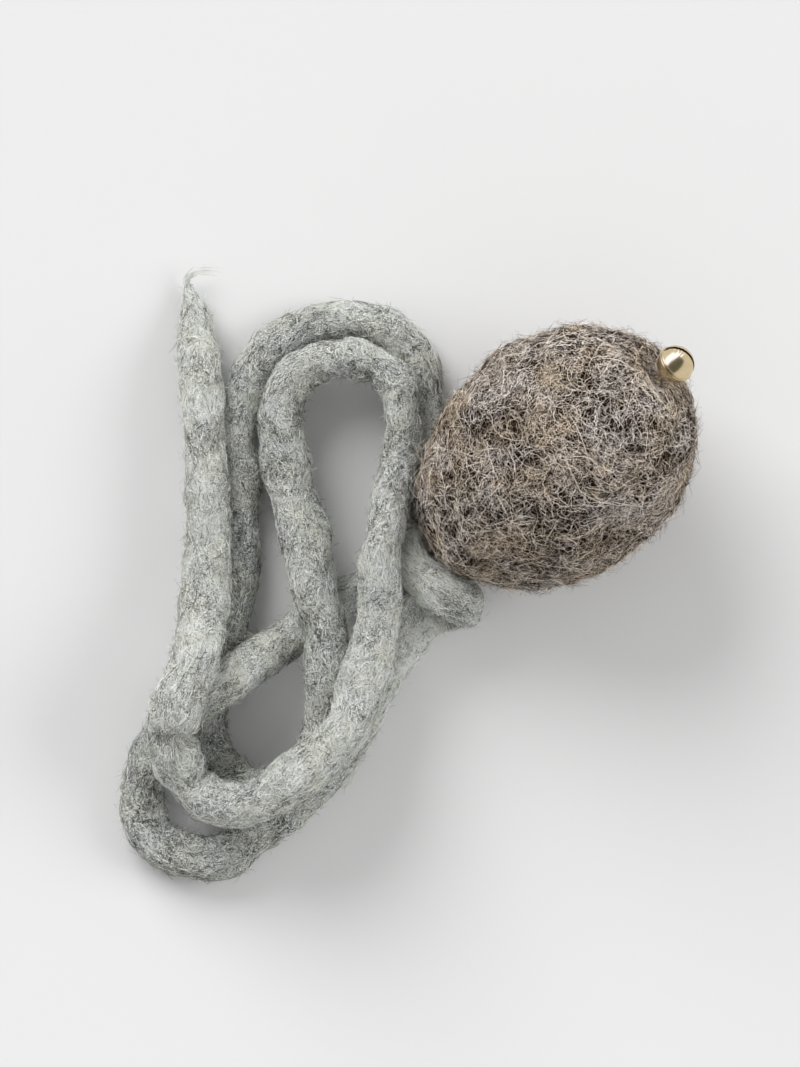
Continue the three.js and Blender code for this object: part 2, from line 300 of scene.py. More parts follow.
@dataclass(frozen=True)
class Fibres:
    """A layer of loose wool fibres, each a narrow ribbon of a few faces. Sizes are in millimetres.

    The pairs are the least and the most. A tone runs from 0, the darkest, to 1, the palest, and nothing
    changes beyond them. The curl is in radians a millimetre, and the crimp and the roll are in radians. The
    grain draws the headings towards the second direction of the surface. The values after it shape a fibre's
    height, its ends and its map cell.
    """

    name: str
    count: int
    length: tuple[float, float]
    width: tuple[float, float]
    rise: tuple[float, float]
    tone: tuple[float, float]
    seed: int
    steps: int = 4
    layer: Layer = Layer.MATTED
    curl: float = 0.4
    crimp: float = 0.65
    crimp_length: float = 2.0
    crimp_shares: tuple[float, float] = (0.7, 1.5)
    roll: float = 0.5
    grain: float = 0.0
    low_power: float = 1.5
    tuck_share: float = 0.15
    clearance: float = 0.05
    stand_power: float = 1.6
    end_share: float = 0.35
    cell_edge: float = 0.15

    @property
    def shares(self) -> np.ndarray:
        """The share of a fibre's length at each of its points, as one row."""
        return np.linspace(0, 1, self.steps + 1)[None, :]

    def lines(self, rng: np.random.Generator) -> tuple[np.ndarray, np.ndarray, np.ndarray]:
        """The fibres' lines laid flat, with heights.

        A fibre's heading turns by a random curl per millimetre and swings by its crimp, a sine of the run.
        Its place is the running sum of short steps along that heading, centred on its root. A matted fibre's
        height is a half sine above a tucked-in start, and a loose one's grows with a power of the run.

        Args:
            rng: The source of the random numbers.

        Returns:
            Two offsets in the surface and a height, each count by steps + 1, in millimetres.
        """
        share, column = self.shares, (self.count, 1)
        length = rng.uniform(*self.length, size=column)
        heading = rng.uniform(0, TURN, size=column)
        lean = self.grain * np.sin(2 * heading) / 2
        turn = rng.normal(0, self.curl, size=column) * length * share
        phase = rng.uniform(0, TURN, size=column)
        pitch = self.crimp_length * rng.uniform(*self.crimp_shares, size=column)
        swing = rng.normal(0, self.crimp, size=column) * np.sin(TURN * share * length / pitch + phase)
        angle = heading + lean + turn + swing
        step = length / self.steps
        across, along = (np.cumsum(part(angle) * step, axis=1) for part in (np.cos, np.sin))
        across -= across.mean(axis=1, keepdims=True)
        along -= along.mean(axis=1, keepdims=True)
        low, high = self.rise
        rise = rng.uniform(0, 1, size=column) ** self.low_power * (high - low) + low
        if self.layer is Layer.LOOSE:
            return across, along, rise * share**self.stand_power
        arch = (1 + self.tuck_share) * np.sin(np.pi * share) - self.tuck_share
        return across, along, rise * arch + self.clearance

    def widths(self, rng: np.random.Generator) -> np.ndarray:
        """The fibres' widths, drawn in to a share at both ends by a half sine, count by steps + 1."""
        full = rng.uniform(*self.width, size=(self.count, 1))
        return full * (self.end_share + (1 - self.end_share) * np.sin(np.pi * self.shares))

    def build(
        self,
        places: np.ndarray,
        normals: np.ndarray,
        rng: np.random.Generator,
        shift: np.ndarray | float = 0.0,
    ) -> bpy.types.Object:
        """The layer's mesh.

        Each fibre is a ribbon: at every point of its line lie two corners, half a width to either side, along
        the cross product of the line's direction and a normal that is rolled about the line at random.

        Args:
            places: The fibres' points, count by steps + 1 by 3, in metres.
            normals: The surface's normals there.
            rng: The source of the random numbers.
            shift: How much paler or darker each fibre is drawn: the blend's own variation and painted
                shading.

        Returns:
            The object, with a tone attribute and a map in which each fibre has a cell of its own.
        """
        n, m = places.shape[:2]
        ahead = unit(np.gradient(places, axis=1))
        side = unit(np.cross(ahead, normals))
        side = swung(rng.normal(0, self.roll, size=(n, 1)), side, np.cross(side, ahead))
        half = (self.widths(rng) * MM / 2)[..., None]
        corners = np.stack([places - side * half, places + side * half], axis=2)
        first = (np.arange(n)[:, None] * m + np.arange(m - 1)[None, :]) * 2
        quads = np.stack([first, first + 1, first + 3, first + 2], -1).reshape(-1, 4)
        piece = mesh_object(self.name, corners.reshape(-1, 3), quads)
        # Each fibre's tone is its own random tone plus the shift, which on the cord carries painted shade and
        # painted light.
        mark(piece, "tone", np.repeat(rng.uniform(*self.tone, size=n) + shift, m * 2))
        self.map_cells(piece.data)
        return piece

    def map_cells(self, mesh: bpy.types.Mesh) -> None:
        """Gives every fibre a small square of its own in the map that its colours are kept in.

        The squares stand in rows, as many as the square root of the count, with an edge left free round each.

        Args:
            mesh: The layer's mesh.
        """
        cells = math.ceil(math.sqrt(self.count))
        number = np.arange(self.count)[:, None, None]
        edge = self.cell_edge
        along = (edge + (1 - 2 * edge) * self.shares)[..., None]
        across = np.array([edge, 1 - edge])[None, None, :]
        places = np.broadcast_arrays(number % cells + along, number // cells + across)
        corner_uv = np.stack(places, -1).reshape(-1, 2) / cells
        corner = np.empty(len(mesh.loops), np.int32)
        mesh.loops.foreach_get("vertex_index", corner)
        mesh.uv_layers.new(name="OFBake").data.foreach_set("uv", corner_uv[corner].astype(np.float32).ravel())


class NodeTree:
    """Short ways to add and join shader nodes. An input takes a value or another node's output socket."""

    def __init__(self, tree: bpy.types.NodeTree) -> None:
        """Wraps a node tree."""
        self.tree = tree

    def join(self, source: bpy.types.NodeSocket, target: bpy.types.NodeSocket) -> None:
        """Links an output to an input."""
        self.tree.links.new(source, target)

    def add(self, kind: str, inputs: dict | None = None, **settings: object) -> bpy.types.Node:
        """Adds a node.

        Args:
            kind: The node's type name, without the leading ShaderNode.
            inputs: What its inputs get, by name or number.
            settings: The node's own settings.

        Returns:
            The node.
        """
        node = self.tree.nodes.new(f"ShaderNode{kind}")
        for name, value in settings.items():
            setattr(node, name, value)
        for name, value in (inputs or {}).items():
            if isinstance(value, bpy.types.NodeSocket):
                self.join(value, node.inputs[name])
            else:
                node.inputs[name].default_value = value
        return node

    def place(self) -> bpy.types.NodeSocket:
        """The place on the object."""
        return self.add("TexCoord").outputs["Object"]

    def math(self, operation: str, *values: object, clamp: bool = False) -> bpy.types.NodeSocket:
        """A Math node's result."""
        return self.add("Math", dict(enumerate(values)), operation=operation, use_clamp=clamp).outputs[0]

    def vector(self, operation: str, *values: object) -> bpy.types.NodeSocket:
        """A Vector Math node's result."""
        return self.add("VectorMath", dict(enumerate(values)), operation=operation).outputs[0]

    def mix(self, share: object, a: object, b: object, blend: str = "MIX") -> bpy.types.NodeSocket:
        """A colour between a and b."""
        return self.add("Mix", {0: share, 6: a, 7: b}, data_type="RGBA", blend_type=blend).outputs[2]

    def mapped(
        self, place: bpy.types.NodeSocket, scale: tuple = (1.0, 1.0, 1.0), turn: tuple = (0.0, 0.0, 0.0)
    ) -> bpy.types.NodeSocket:
        """A place that is scaled along its axes and turned about them."""
        return self.add("Mapping", {"Vector": place, "Rotation": turn, "Scale": scale}).outputs[0]

    def noise(
        self, place: bpy.types.NodeSocket, scale: object, detail: float, rough: float = 0.5, bent: float = 0.0
    ) -> bpy.types.Node:
        """Adds a noise texture.

        Args:
            place: Where it is read.
            scale: Its waves in a metre.
            detail: How many finer layers it has.
            rough: How strong each of them is beside the last.
            bent: How far it is bent by itself.

        Returns:
            The node.
        """
        values = {"Vector": place, "Scale": scale, "Detail": detail, "Roughness": rough, "Distortion": bent}
        return self.add("TexNoise", values)

    def span(
        self, value: bpy.types.NodeSocket, reach: tuple, to: tuple = (0.0, 1.0), kind: str = "LINEAR"
    ) -> bpy.types.NodeSocket:
        """A value brought from one range to another and kept inside it.

        Args:
            value: The value.
            reach: The range that it comes from.
            to: The range that it goes to.
            kind: LINEAR, or SMOOTHSTEP to ease it at both ends.

        Returns:
            The result.
        """
        ends = {"From Min": reach[0], "From Max": reach[1], "To Min": to[0], "To Max": to[1]}
        return self.add("MapRange", {"Value": value} | ends, interpolation_type=kind).outputs[0]

    def bump(self, height: bpy.types.NodeSocket, distance: float, strength: float) -> bpy.types.NodeSocket:
        """The normal of a relief."""
        values = {"Height": height, "Distance": distance, "Strength": strength}
        return self.add("Bump", values).outputs["Normal"]


def new_group(
    name: str, inputs: dict[str, float | str], output: str, kind: str
) -> tuple[NodeTree, bpy.types.bpy_prop_collection, bpy.types.NodeSocket]:
    """A new node group with its sockets.

    Args:
        name: The group's name.
        inputs: The inputs' starting values: numbers, and colours as six hexadecimal digits.
        output: The output's name.
        kind: Its kind, Float or Color.

    Returns:
        The group's tree, the sockets that hold its inputs and the one that takes its output.
    """
    group = bpy.data.node_groups.new(name, "ShaderNodeTree")
    for key, value in inputs.items():
        is_colour = isinstance(value, str)
        socket_type = "NodeSocketColor" if is_colour else "NodeSocketFloat"
        socket = group.interface.new_socket(key, in_out="INPUT", socket_type=socket_type)
        socket.default_value = linear(value) if is_colour else value
    group.interface.new_socket(output, in_out="OUTPUT", socket_type=f"NodeSocket{kind}")
    source, result = group.nodes.new("NodeGroupInput"), group.nodes.new("NodeGroupOutput")
    return NodeTree(group), source.outputs, result.inputs[output]


def shared_group(name: str, make: Callable[[], bpy.types.NodeTree]) -> bpy.types.NodeTree:
    """The node group of a name, made the first time that it is asked for."""
    return bpy.data.node_groups.get(name) or make()


def hair_pattern_group() -> bpy.types.NodeTree:
    """A group that draws a fine mat of hairs: streaks along four directions in space, bent by a coarse noise.

    Each streak layer is a noise stretched along one direction, and the mat is the largest of the four at each
    place, so that paler hairs lie over darker ones.

    Returns:
        The group, with the input Hair Width in millimetres and the output Hairs.
    """
    bend_waves, bend_reach = 420.0, 0.0016
    turns = ((0.0, 0.0, 0.0), (1.2, 0.4, 0.0), (-0.9, 0.9, 0.6), (0.5, -1.1, 1.9))
    stretch = (1.0, 1.0, 0.14)
    darkest, palest = 0.47, 0.75
    t, source, result = new_group("hair_pattern", {"Hair Width": 0.25}, "Hairs", "Float")
    place = t.place()
    bends = t.noise(place, bend_waves, 1.0).outputs["Color"]
    bent = t.vector("ADD", place, t.vector("MULTIPLY", bends, (bend_reach, bend_reach, bend_reach)))
    scale = t.math("DIVIDE", 1000.0, source["Hair Width"])
    streaks = [t.noise(t.mapped(bent, stretch, turn), scale, 0.0).outputs["Fac"] for turn in turns]
    hairs = streaks[0]
    for other in streaks[1:]:
        hairs = t.math("MAXIMUM", hairs, other)
    t.join(t.span(hairs, (darkest, palest)), result)
    return t.tree


def wool_blend_group() -> bpy.types.NodeTree:
    """A group that gives a fibre of blended wool its colour from its tone.

    Wool of mixed shades has more dark fibres in some patches than in others. A fibre whose tone lies below
    the patch's share of dark ones is dark, and the others run from the middle to the pale colour by their
    tone. Another patchy noise tints the blend.

    Returns:
        The group, with the output Color.
    """
    patch_span, tint_span = (0.38, 0.64), (0.4, 0.62)
    sharpness, elsewhere = 5.0, (0.37, 0.19, 0.42)
    numbers = {"Tone": 0.5, "Patch Size": 9.0, "Few": 0.1, "Many": 0.5}
    colours = {"Pale": "ffffff", "Middle": "999999", "Dark": "333333", "Tint": "ffffff"}
    t, source, result = new_group("wool_blend", numbers | colours, "Color", "Color")
    place = t.place()
    scale = t.math("DIVIDE", 1000.0, source["Patch Size"])
    patch = t.noise(place, scale, 3.5, rough=0.48, bent=0.4).outputs["Fac"]
    share = t.span(patch, patch_span, (source["Few"], source["Many"]), "SMOOTHSTEP")
    dark = t.math("MULTIPLY_ADD", t.math("SUBTRACT", share, source["Tone"]), sharpness, 0.5, clamp=True)
    light = t.mix(source["Tone"], source["Middle"], source["Pale"])
    blend = t.mix(dark, light, source["Dark"])
    aside = t.vector("ADD", place, elsewhere)
    tint_patch = t.noise(aside, scale, 3.0, rough=0.55).outputs["Fac"]
    tinted = t.mix(1.0, blend, source["Tint"], "MULTIPLY")
    t.join(t.mix(t.span(tint_patch, tint_span), blend, tinted), result)
    return t.tree


def new_material(name: str, inputs: dict[str, object]) -> tuple[bpy.types.Material, NodeTree, bpy.types.Node]:
    """A new material with its shader.

    Args:
        name: The material's name.
        inputs: Values for the shader's inputs.

    Returns:
        The material, its tree and its Principled BSDF.
    """
    material = bpy.data.materials.new(name)
    material.use_nodes = True
    shader = material.node_tree.nodes["Principled BSDF"]
    for key, value in inputs.items():
        shader.inputs[key].default_value = value
    return material, NodeTree(material.node_tree), shader


@dataclass(frozen=True)
class Wool:
    """A blend of felted wool fibres of several shades, with the share of dark ones in its two kinds of patch.

    Colours are six hexadecimal digits, and the patch size and the hair width are in millimetres.
    """

    name: str
    dark: str
    middle: str
    pale: str
    tint: str
    sheen: str
    patch_size: float
    few: float
    many: float
    hair_width: float
    # Scales the mat's drawn tone down, keeping the felt under the loose fibres darker: painted shade in the
    # gaps between them.
    mat_painted_shade_scale: float
    sheen_weight: float = 0.14
    relief: float = 0.0003

    def start(self, suffix: str) -> tuple[bpy.types.Material, NodeTree, bpy.types.Node, bpy.types.NodeSocket]:
        """A new material whose colour is the blend's.

        Args:
            suffix: The end of the material's name.

        Returns:
            The material, its tree, its shader and the input that takes a tone.
        """
        feel = {"Roughness": 0.9, "Specular IOR Level": 0.1, "Sheen Weight": self.sheen_weight}
        sheen = {"Sheen Roughness": 0.5, "Sheen Tint": linear(self.sheen)}
        material, t, shader = new_material(f"{self.name}_{suffix}", feel | sheen)
        colours = {"Pale": self.pale, "Middle": self.middle, "Dark": self.dark, "Tint": self.tint}
        values = {key: linear(value) for key, value in colours.items()}
        values |= {"Patch Size": self.patch_size, "Few": self.few, "Many": self.many}
        blend = t.add("Group", values, node_tree=shared_group("wool_blend", wool_blend_group))
        t.join(blend.outputs["Color"], shader.inputs["Base Color"])
        return material, t, shader, blend.inputs["Tone"]

    def mat(self) -> bpy.types.Material:
        """The dense felt under the loose fibres, with hairs drawn on it and in its relief.

        Returns:
            The material, whose tone is the drawn hairs' tone, scaled down for painted shade under the fibres,
            plus the piece's attribute of the blend's variation and painted shading, where it has one.
        """
        material, t, shader, tone = self.start("mat")
        group = shared_group("hair_pattern", hair_pattern_group)
        hairs = t.add("Group", {"Hair Width": self.hair_width}, node_tree=group).outputs["Hairs"]
        # The cord's attribute adds its blend's variation and its painted shade and painted light.
        blend_and_painted_shading = t.add("Attribute", attribute_name="blend_and_painted_shading").outputs["Fac"]
        # Scaling the drawn hairs' tone down is painted shade under the loose fibres.
        t.join(t.math("MULTIPLY_ADD", hairs, self.mat_painted_shade_scale, blend_and_painted_shading), tone)
        t.join(t.bump(hairs, self.relief, 0.9), shader.inputs["Normal"])
        return material

    def fibres(self) -> bpy.types.Material:
        """The loose fibres, each of its own tone.

        Returns:
            The material.
        """
        material, t, _, tone = self.start("fibres")
        t.join(t.add("Attribute", attribute_name="tone").outputs["Fac"], tone)
        return material


@dataclass(frozen=True)
class Metal:
    """A bare metal finish with fine scratches. Colours are six hexadecimal digits."""

    name: str
    colour: str
    roughness: float
    dulled: str = "b49f78"
    scratches: float = 0.12
    clouds: float = 0.1

    def material(self) -> bpy.types.Material:
        """The metal: a fine noise and a coarse one move its roughness, and the coarse one dulls its colour.

        Returns:
            The material.
        """
        material, t, shader = new_material(self.name, {"Metallic": 1.0})
        place = t.place()
        scratch = t.noise(t.mapped(place, (1.0, 1.0, 0.2)), 9000.0, 2.0).outputs["Fac"]
        cloud = t.noise(place, 700.0, 2.0).outputs["Fac"]
        least = self.roughness - (self.scratches + self.clouds) / 2
        clouded = t.math("MULTIPLY_ADD", cloud, self.clouds, least)
        t.join(t.math("MULTIPLY_ADD", scratch, self.scratches, clouded), shader.inputs["Roughness"])
        share = t.math("MULTIPLY", cloud, 0.3)
        t.join(t.mix(share, linear(self.colour), linear(self.dulled)), shader.inputs["Base Color"])
        return material


@dataclass(frozen=True)
class Spun:
    """The finish of a spun thread: fine strands from a dark to a pale shade, with a little relief."""

    name: str
    dark: str
    pale: str

    def material(self) -> bpy.types.Material:
        """The thread's material: a fine noise sets the shade between two stops of a ramp, and the relief.

        Returns:
            The material.
        """
        material, t, shader = new_material(self.name, {"Roughness": 0.7})
        strands = t.noise(t.place(), 6000.0, 2.0).outputs["Fac"]
        ramp = t.add("ValToRGB", {"Fac": strands})
        dark, pale = ramp.color_ramp.elements
        dark.position, dark.color = 0.3, linear(self.dark)
        pale.position, pale.color = 0.7, linear(self.pale)
        t.join(ramp.outputs["Color"], shader.inputs["Base Color"])
        t.join(t.bump(strands, 0.0001, 0.6), shader.inputs["Normal"])
        return material


@dataclass(frozen=True)
class Plain:
    """A plain finish of the stage: one colour, which may glow."""

    name: str
    colour: str
    roughness: float = 0.5
    shine: float = 0.5
    glow: float = 0.0

    def material(self) -> bpy.types.Material:
        """The material, with the same colour for what it reflects and what it gives off.

        Returns:
            The material.
        """
        colour = linear(self.colour)
        feel = {"Roughness": self.roughness, "Specular IOR Level": self.shine, "Emission Strength": self.glow}
        return new_material(self.name, feel | {"Base Color": colour, "Emission Color": colour})[0]


BROWN_WOOL = Wool(
    name="brown_wool",
    dark="261508",
    middle="807160",
    pale="fff6ec",
    tint="f2eadc",
    sheen="a88a68",
    patch_size=9.0,
    few=0.56,
    many=0.81,
    hair_width=0.16,
    mat_painted_shade_scale=0.74,
)
GREY_WOOL = Wool(
    name="grey_wool",
    dark="41433e",
    middle="c9cec7",
    pale="fefffc",
    tint="fbfaf4",
    sheen="ffffff",
    patch_size=7.0,
    few=0.26,
    many=0.5,
    hair_width=0.15,
    mat_painted_shade_scale=0.95,
)
GOLD = Metal("pale_brass", "ddcaa4", 0.24)
STEEL = Metal("pellet_steel", "c4c4c0", 0.34)
THREAD = Spun("sewing_thread", "4b4036", "a39686")
DARK_CARD = Plain("dark_card", "626256")
BRIGHT_CARD = Plain("bright_card", "d4d9ff", glow=2.2)
FLOOR = Plain("pale_floor", "e2e2e2", roughness=1.0, shine=0.0)


def dress(piece: bpy.types.Object, material: bpy.types.Material, body: str) -> bpy.types.Object:
    """Gives a piece its material and its body, and logs its face count.

    Args:
        piece: The piece.
        material: Its finish.
        body: The body that it moves with.

    Returns:
        The piece.
    """
    piece.data.materials.clear()
    piece.data.materials.append(material)
    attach(piece, body)
    log.info("%s: %d faces on %s", piece.name, len(piece.data.polygons), body)
    return piece


@dataclass
class Ball:
    """The felted ball: an egg about a leaning axis, lumpy, dented under the bell and pressed flat underneath.

    Sizes are in millimetres, as in the solids. The lumps are fields, each with its height. Fibres within the
    bell's reach of the end that it hangs on are pressed down to a share of their height, and at twice that
    reach they stand freely.
    """

    length: float = 67.6
    width: float = 50.4
    egg_share: float = 0.084
    tilt: float = math.radians(32)
    heading: float = math.radians(38.5)
    flat_depth: float = 0.5
    nap: float = 0.55
    dent_depth: float = 2.3
    dent_radius: float = 2.5
    bell_reach: float = 4.5
    pressed_share: float = 0.15
    outline_points: int = 1441
    rings: int = 180
    sides: int = 260
    core_depth: float = 3.8
    core_rings: int = 40
    core_sides: int = 60
    lumps: tuple[tuple[Swells | Bulge, float], ...] = (
        (Swells(19.0, seed=11), 0.3),
        (Swells(8.0, seed=12), 0.14),
        (Swells(3.4, seed=13), 0.07),
        (Bulge((12.0, 33.0, 34.0), 14.0), -0.6),
        (Bulge((-16.5, -15.0, 17.0), 9.0), 0.8),
    )
    # Each fibre has a random tone, but the lower layers' ranges run darker and the upper ones' paler: painted
    # shade deeper in the felt.
    layers: tuple[Fibres, ...] = (
        Fibres("ball_fibres_under", 28000, (1.5, 4.0), (0.05, 0.09), (0.02, 0.2), (0.0, 0.7), 31, steps=3),
        Fibres("ball_fibres_middle", 33000, (1.6, 4.0), (0.05, 0.085), (0.05, 0.35), (0.0, 1.0), 32, steps=3),
        Fibres("ball_fibres_crimped", 16000, (2.0, 4.5), (0.06, 0.1), (0.05, 0.4), (0.1, 1.15), 36, steps=6),
        Fibres("ball_fibres_top", 16000, (2.5, 6.0), (0.065, 0.1), (0.1, 0.6), (0.15, 1.3), 33, steps=6),
        Fibres("ball_long_hairs", 1300, (7.0, 16.0), (0.08, 0.11), (0.2, 1.0), (0.8, 1.3), 35, 16, curl=0.16),
        Fibres(
            "ball_stray_hairs", 9000, (3.0, 8.0), (0.045, 0.07), (0.3, 2.6), (0.2, 1.1), 34, 9, Layer.LOOSE,
            curl=0.35, crimp=0.8, roll=1.5,
        ),
    )
    axis: np.ndarray = field(init=False)
    level: np.ndarray = field(init=False)
    crown: np.ndarray = field(init=False)
    middle: np.ndarray = field(init=False)

    def __post_init__(self) -> None:
        """Works out the axes and the middle: over the resting flat, as high as its lowest point asks."""
        away = np.array([math.cos(self.heading), math.sin(self.heading), 0.0])
        up = np.array([0.0, 0.0, 1.0])
        self.axis = away * math.cos(self.tilt) + up * math.sin(self.tilt)
        self.level = np.cross(away, up)
        self.crown = np.cross(self.level, self.axis)
        along, out, _, _ = self.outline(np.linspace(0, np.pi, self.outline_points))
        height = along * math.sin(self.tilt) - out * math.cos(self.tilt)
        low = int(np.argmin(height))
        shift = -(along[low] * math.cos(self.tilt) + out[low] * math.sin(self.tilt))
        self.middle = away * shift + up * (-height[low] - self.flat_depth)

    def outline(self, turn: np.ndarray, depth: float = 0.0) -> tuple[np.ndarray, ...]:
        """The egg's outline: a cos t along the axis and b sin t (1 + e cos t) out from it.

        Args:
            turn: The angle t from the bell end.
            depth: How far inside the surface it lies.

        Returns:
            The places along and out, and the normal's parts along and out.
        """
        a, b = self.length / 2 - depth, self.width / 2 - depth
        along = a * np.cos(turn)
        out = b * np.sin(turn) * (1 + self.egg_share * np.cos(turn))
        slope = b * (np.cos(turn) + self.egg_share * np.cos(2 * turn))
        size = np.hypot(slope, a * np.sin(turn))
        return along, out, slope / size, a * np.sin(turn) / size

    def over(
        self, points: np.ndarray, height: np.ndarray | float, depth: float = 0.0
    ) -> tuple[np.ndarray, np.ndarray]:
        """Points brought onto the lumpy surface and raised above it.

        A point's angle from the bell end is found from its own places along and out, scaled by the length and
        the width. The surface there is the egg's outline, moved along its normal by the lumps, less the nap
        and the dent, whose depth falls off as a bell curve round the bell's end of the axis.

        Args:
            points: Points near the surface, in millimetres.
            height: How far above the surface they end up.
            depth: How far the surface lies inside the ball's own.

        Returns:
            The places and the normals.
        """
        local = points - self.middle
        along, x, z = local @ self.axis, local @ self.level, local @ self.crown
        out = np.hypot(x, z)
        turn = np.arctan2(out / self.width, along / self.length)
        along, radius, normal_along, normal_out = self.outline(turn, depth)
        round_x, round_z = x / np.maximum(out, 1e-9), z / np.maximum(out, 1e-9)
        side = round_x[..., None] * self.level + round_z[..., None] * self.crown
        places = self.middle + along[..., None] * self.axis + radius[..., None] * side
        normals = normal_along[..., None] * self.axis + normal_out[..., None] * side
        raised = sum(size * lumps.at(places) for lumps, size in self.lumps) + height - self.nap
        near = np.where(along > 0, radius, np.inf)
        raised = raised - self.dent_depth * np.exp(-((near / self.dent_radius) ** 2))
        places = places + raised[..., None] * normals
        places[..., 2] = np.maximum(places[..., 2], 0.0)
        return places, normals

    def skin(self, name: str, depth: float, rings: int, sides: int) -> bpy.types.Object:
        """A closed skin: rings round the axis at even angles from one end to the other, on the surface.

        Args:
            name: The piece's name.
            depth: How far it lies inside the ball's surface.
            rings: The number of rings.
            sides: The number of points in a ring.

        Returns:
            The object.
        """
        turn = np.linspace(0, np.pi, rings + 2)[1:-1, None]
        side = swung(round_angles(sides)[None, :], self.level, self.crown)
        away = np.sin(turn)[..., None] * side * self.width + np.cos(turn)[..., None] * self.axis * self.length
        places, _ = self.over(self.middle + away, 0.0, depth)
        return closed_tube(name, places * MM)

    def roots(self, count: int, rng: np.random.Generator) -> np.ndarray:
        """Random points spread over the egg: random directions, scaled by its half width and half length.

        Args:
            count: How many.
            rng: The source of the random numbers.

        Returns:
            The points, count by 3.
        """
        away = unit(rng.normal(size=(count, 3)))
        parts = np.stack([away @ self.level, away @ self.crown, away @ self.axis], -1)
        scaled = parts * np.array([self.width, self.width, self.length]) / 2
        return self.middle + scaled @ np.stack([self.level, self.crown, self.axis])

    def fibre_layer(self, fibres: Fibres) -> bpy.types.Object:
        """A layer of loose fibres on the ball.

        Each fibre is laid out flat in the plane that touches the surface at its root, and then its points are
        brought onto the surface and raised by the fibre's own heights, which are drawn in near the bell.

        Args:
            fibres: What the fibres are like.

        Returns:
            The layer.
        """
        rng = np.random.default_rng(fibres.seed)
        roots, normals = self.over(self.roots(fibres.count, rng), 0.0)
        across, along, height = fibres.lines(rng)
        first = unit(np.cross(normals, unit(rng.normal(size=normals.shape))))
        second = np.cross(normals, first)
        flat = roots[:, None] + across[..., None] * first[:, None] + along[..., None] * second[:, None]
        bell_end = self.middle + self.axis * self.length / 2
        free = ease(np.linalg.norm(flat - bell_end, axis=-1) / self.bell_reach - 1.0)
        places, normals = self.over(flat, height * (self.pressed_share + (1 - self.pressed_share) * free))
        return fibres.build(places * MM, normals, rng)

    def build(self) -> None:
        """Makes and dresses the skin, the wadding inside it and the layers of loose fibres."""
        felt = self.skin("ball_felt", 0.0, self.rings, self.sides)
        skin = dress(felt, BROWN_WOOL.mat(), "ball")
        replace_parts(skin, "ball_felt_skin")
        wadding = self.skin("wool_wadding", self.core_depth, self.core_rings, self.core_sides)
        core = dress(wadding, BROWN_WOOL.mat(), "ball")
        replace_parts(core, "ball_core")
        finish = BROWN_WOOL.fibres()
        for layer in self.layers:
            dress(self.fibre_layer(layer), finish, "ball")


@dataclass(frozen=True)
class Pinch:
    """A crease across one side of the cord, between two low bulges. Sizes are in millimetres.

    Its place counts the route's points, a negative depth is a swelling, and its side is a direction.
    """

    place: float
    depth: float
    width: float
    side: tuple[float, float, float]
    bulge_share: float = 0.35
    bulge_spread: float = 2.6
    side_gain: float = 0.8
    side_start: float = 0.35

    def at(self, off: np.ndarray, normals: np.ndarray) -> np.ndarray:
        """How deep the crease is at points of the surface.

        Along the cord it is a bell curve of the distance over the width, less a lower and wider one, and it
        is eased out over the side that faces the other way.

        Args:
            off: Distances along the cord from the crease.
            normals: The surface's normals there.

        Returns:
            The depth at each point.
        """
        on_side = ease(normals @ unit(np.array(self.side)) * self.side_gain + self.side_start)
        off, share = off / self.width, self.bulge_share
        wide = np.exp(-((off / self.bulge_spread) ** 2))
        return self.depth * on_side * ((1 + share) * np.exp(-(off**2)) - share * wide)


# The cord's matted fibres are straighter than the ball's and lie more along it than across.
LAID = {"curl": 0.28, "crimp": 0.34, "grain": 0.6}


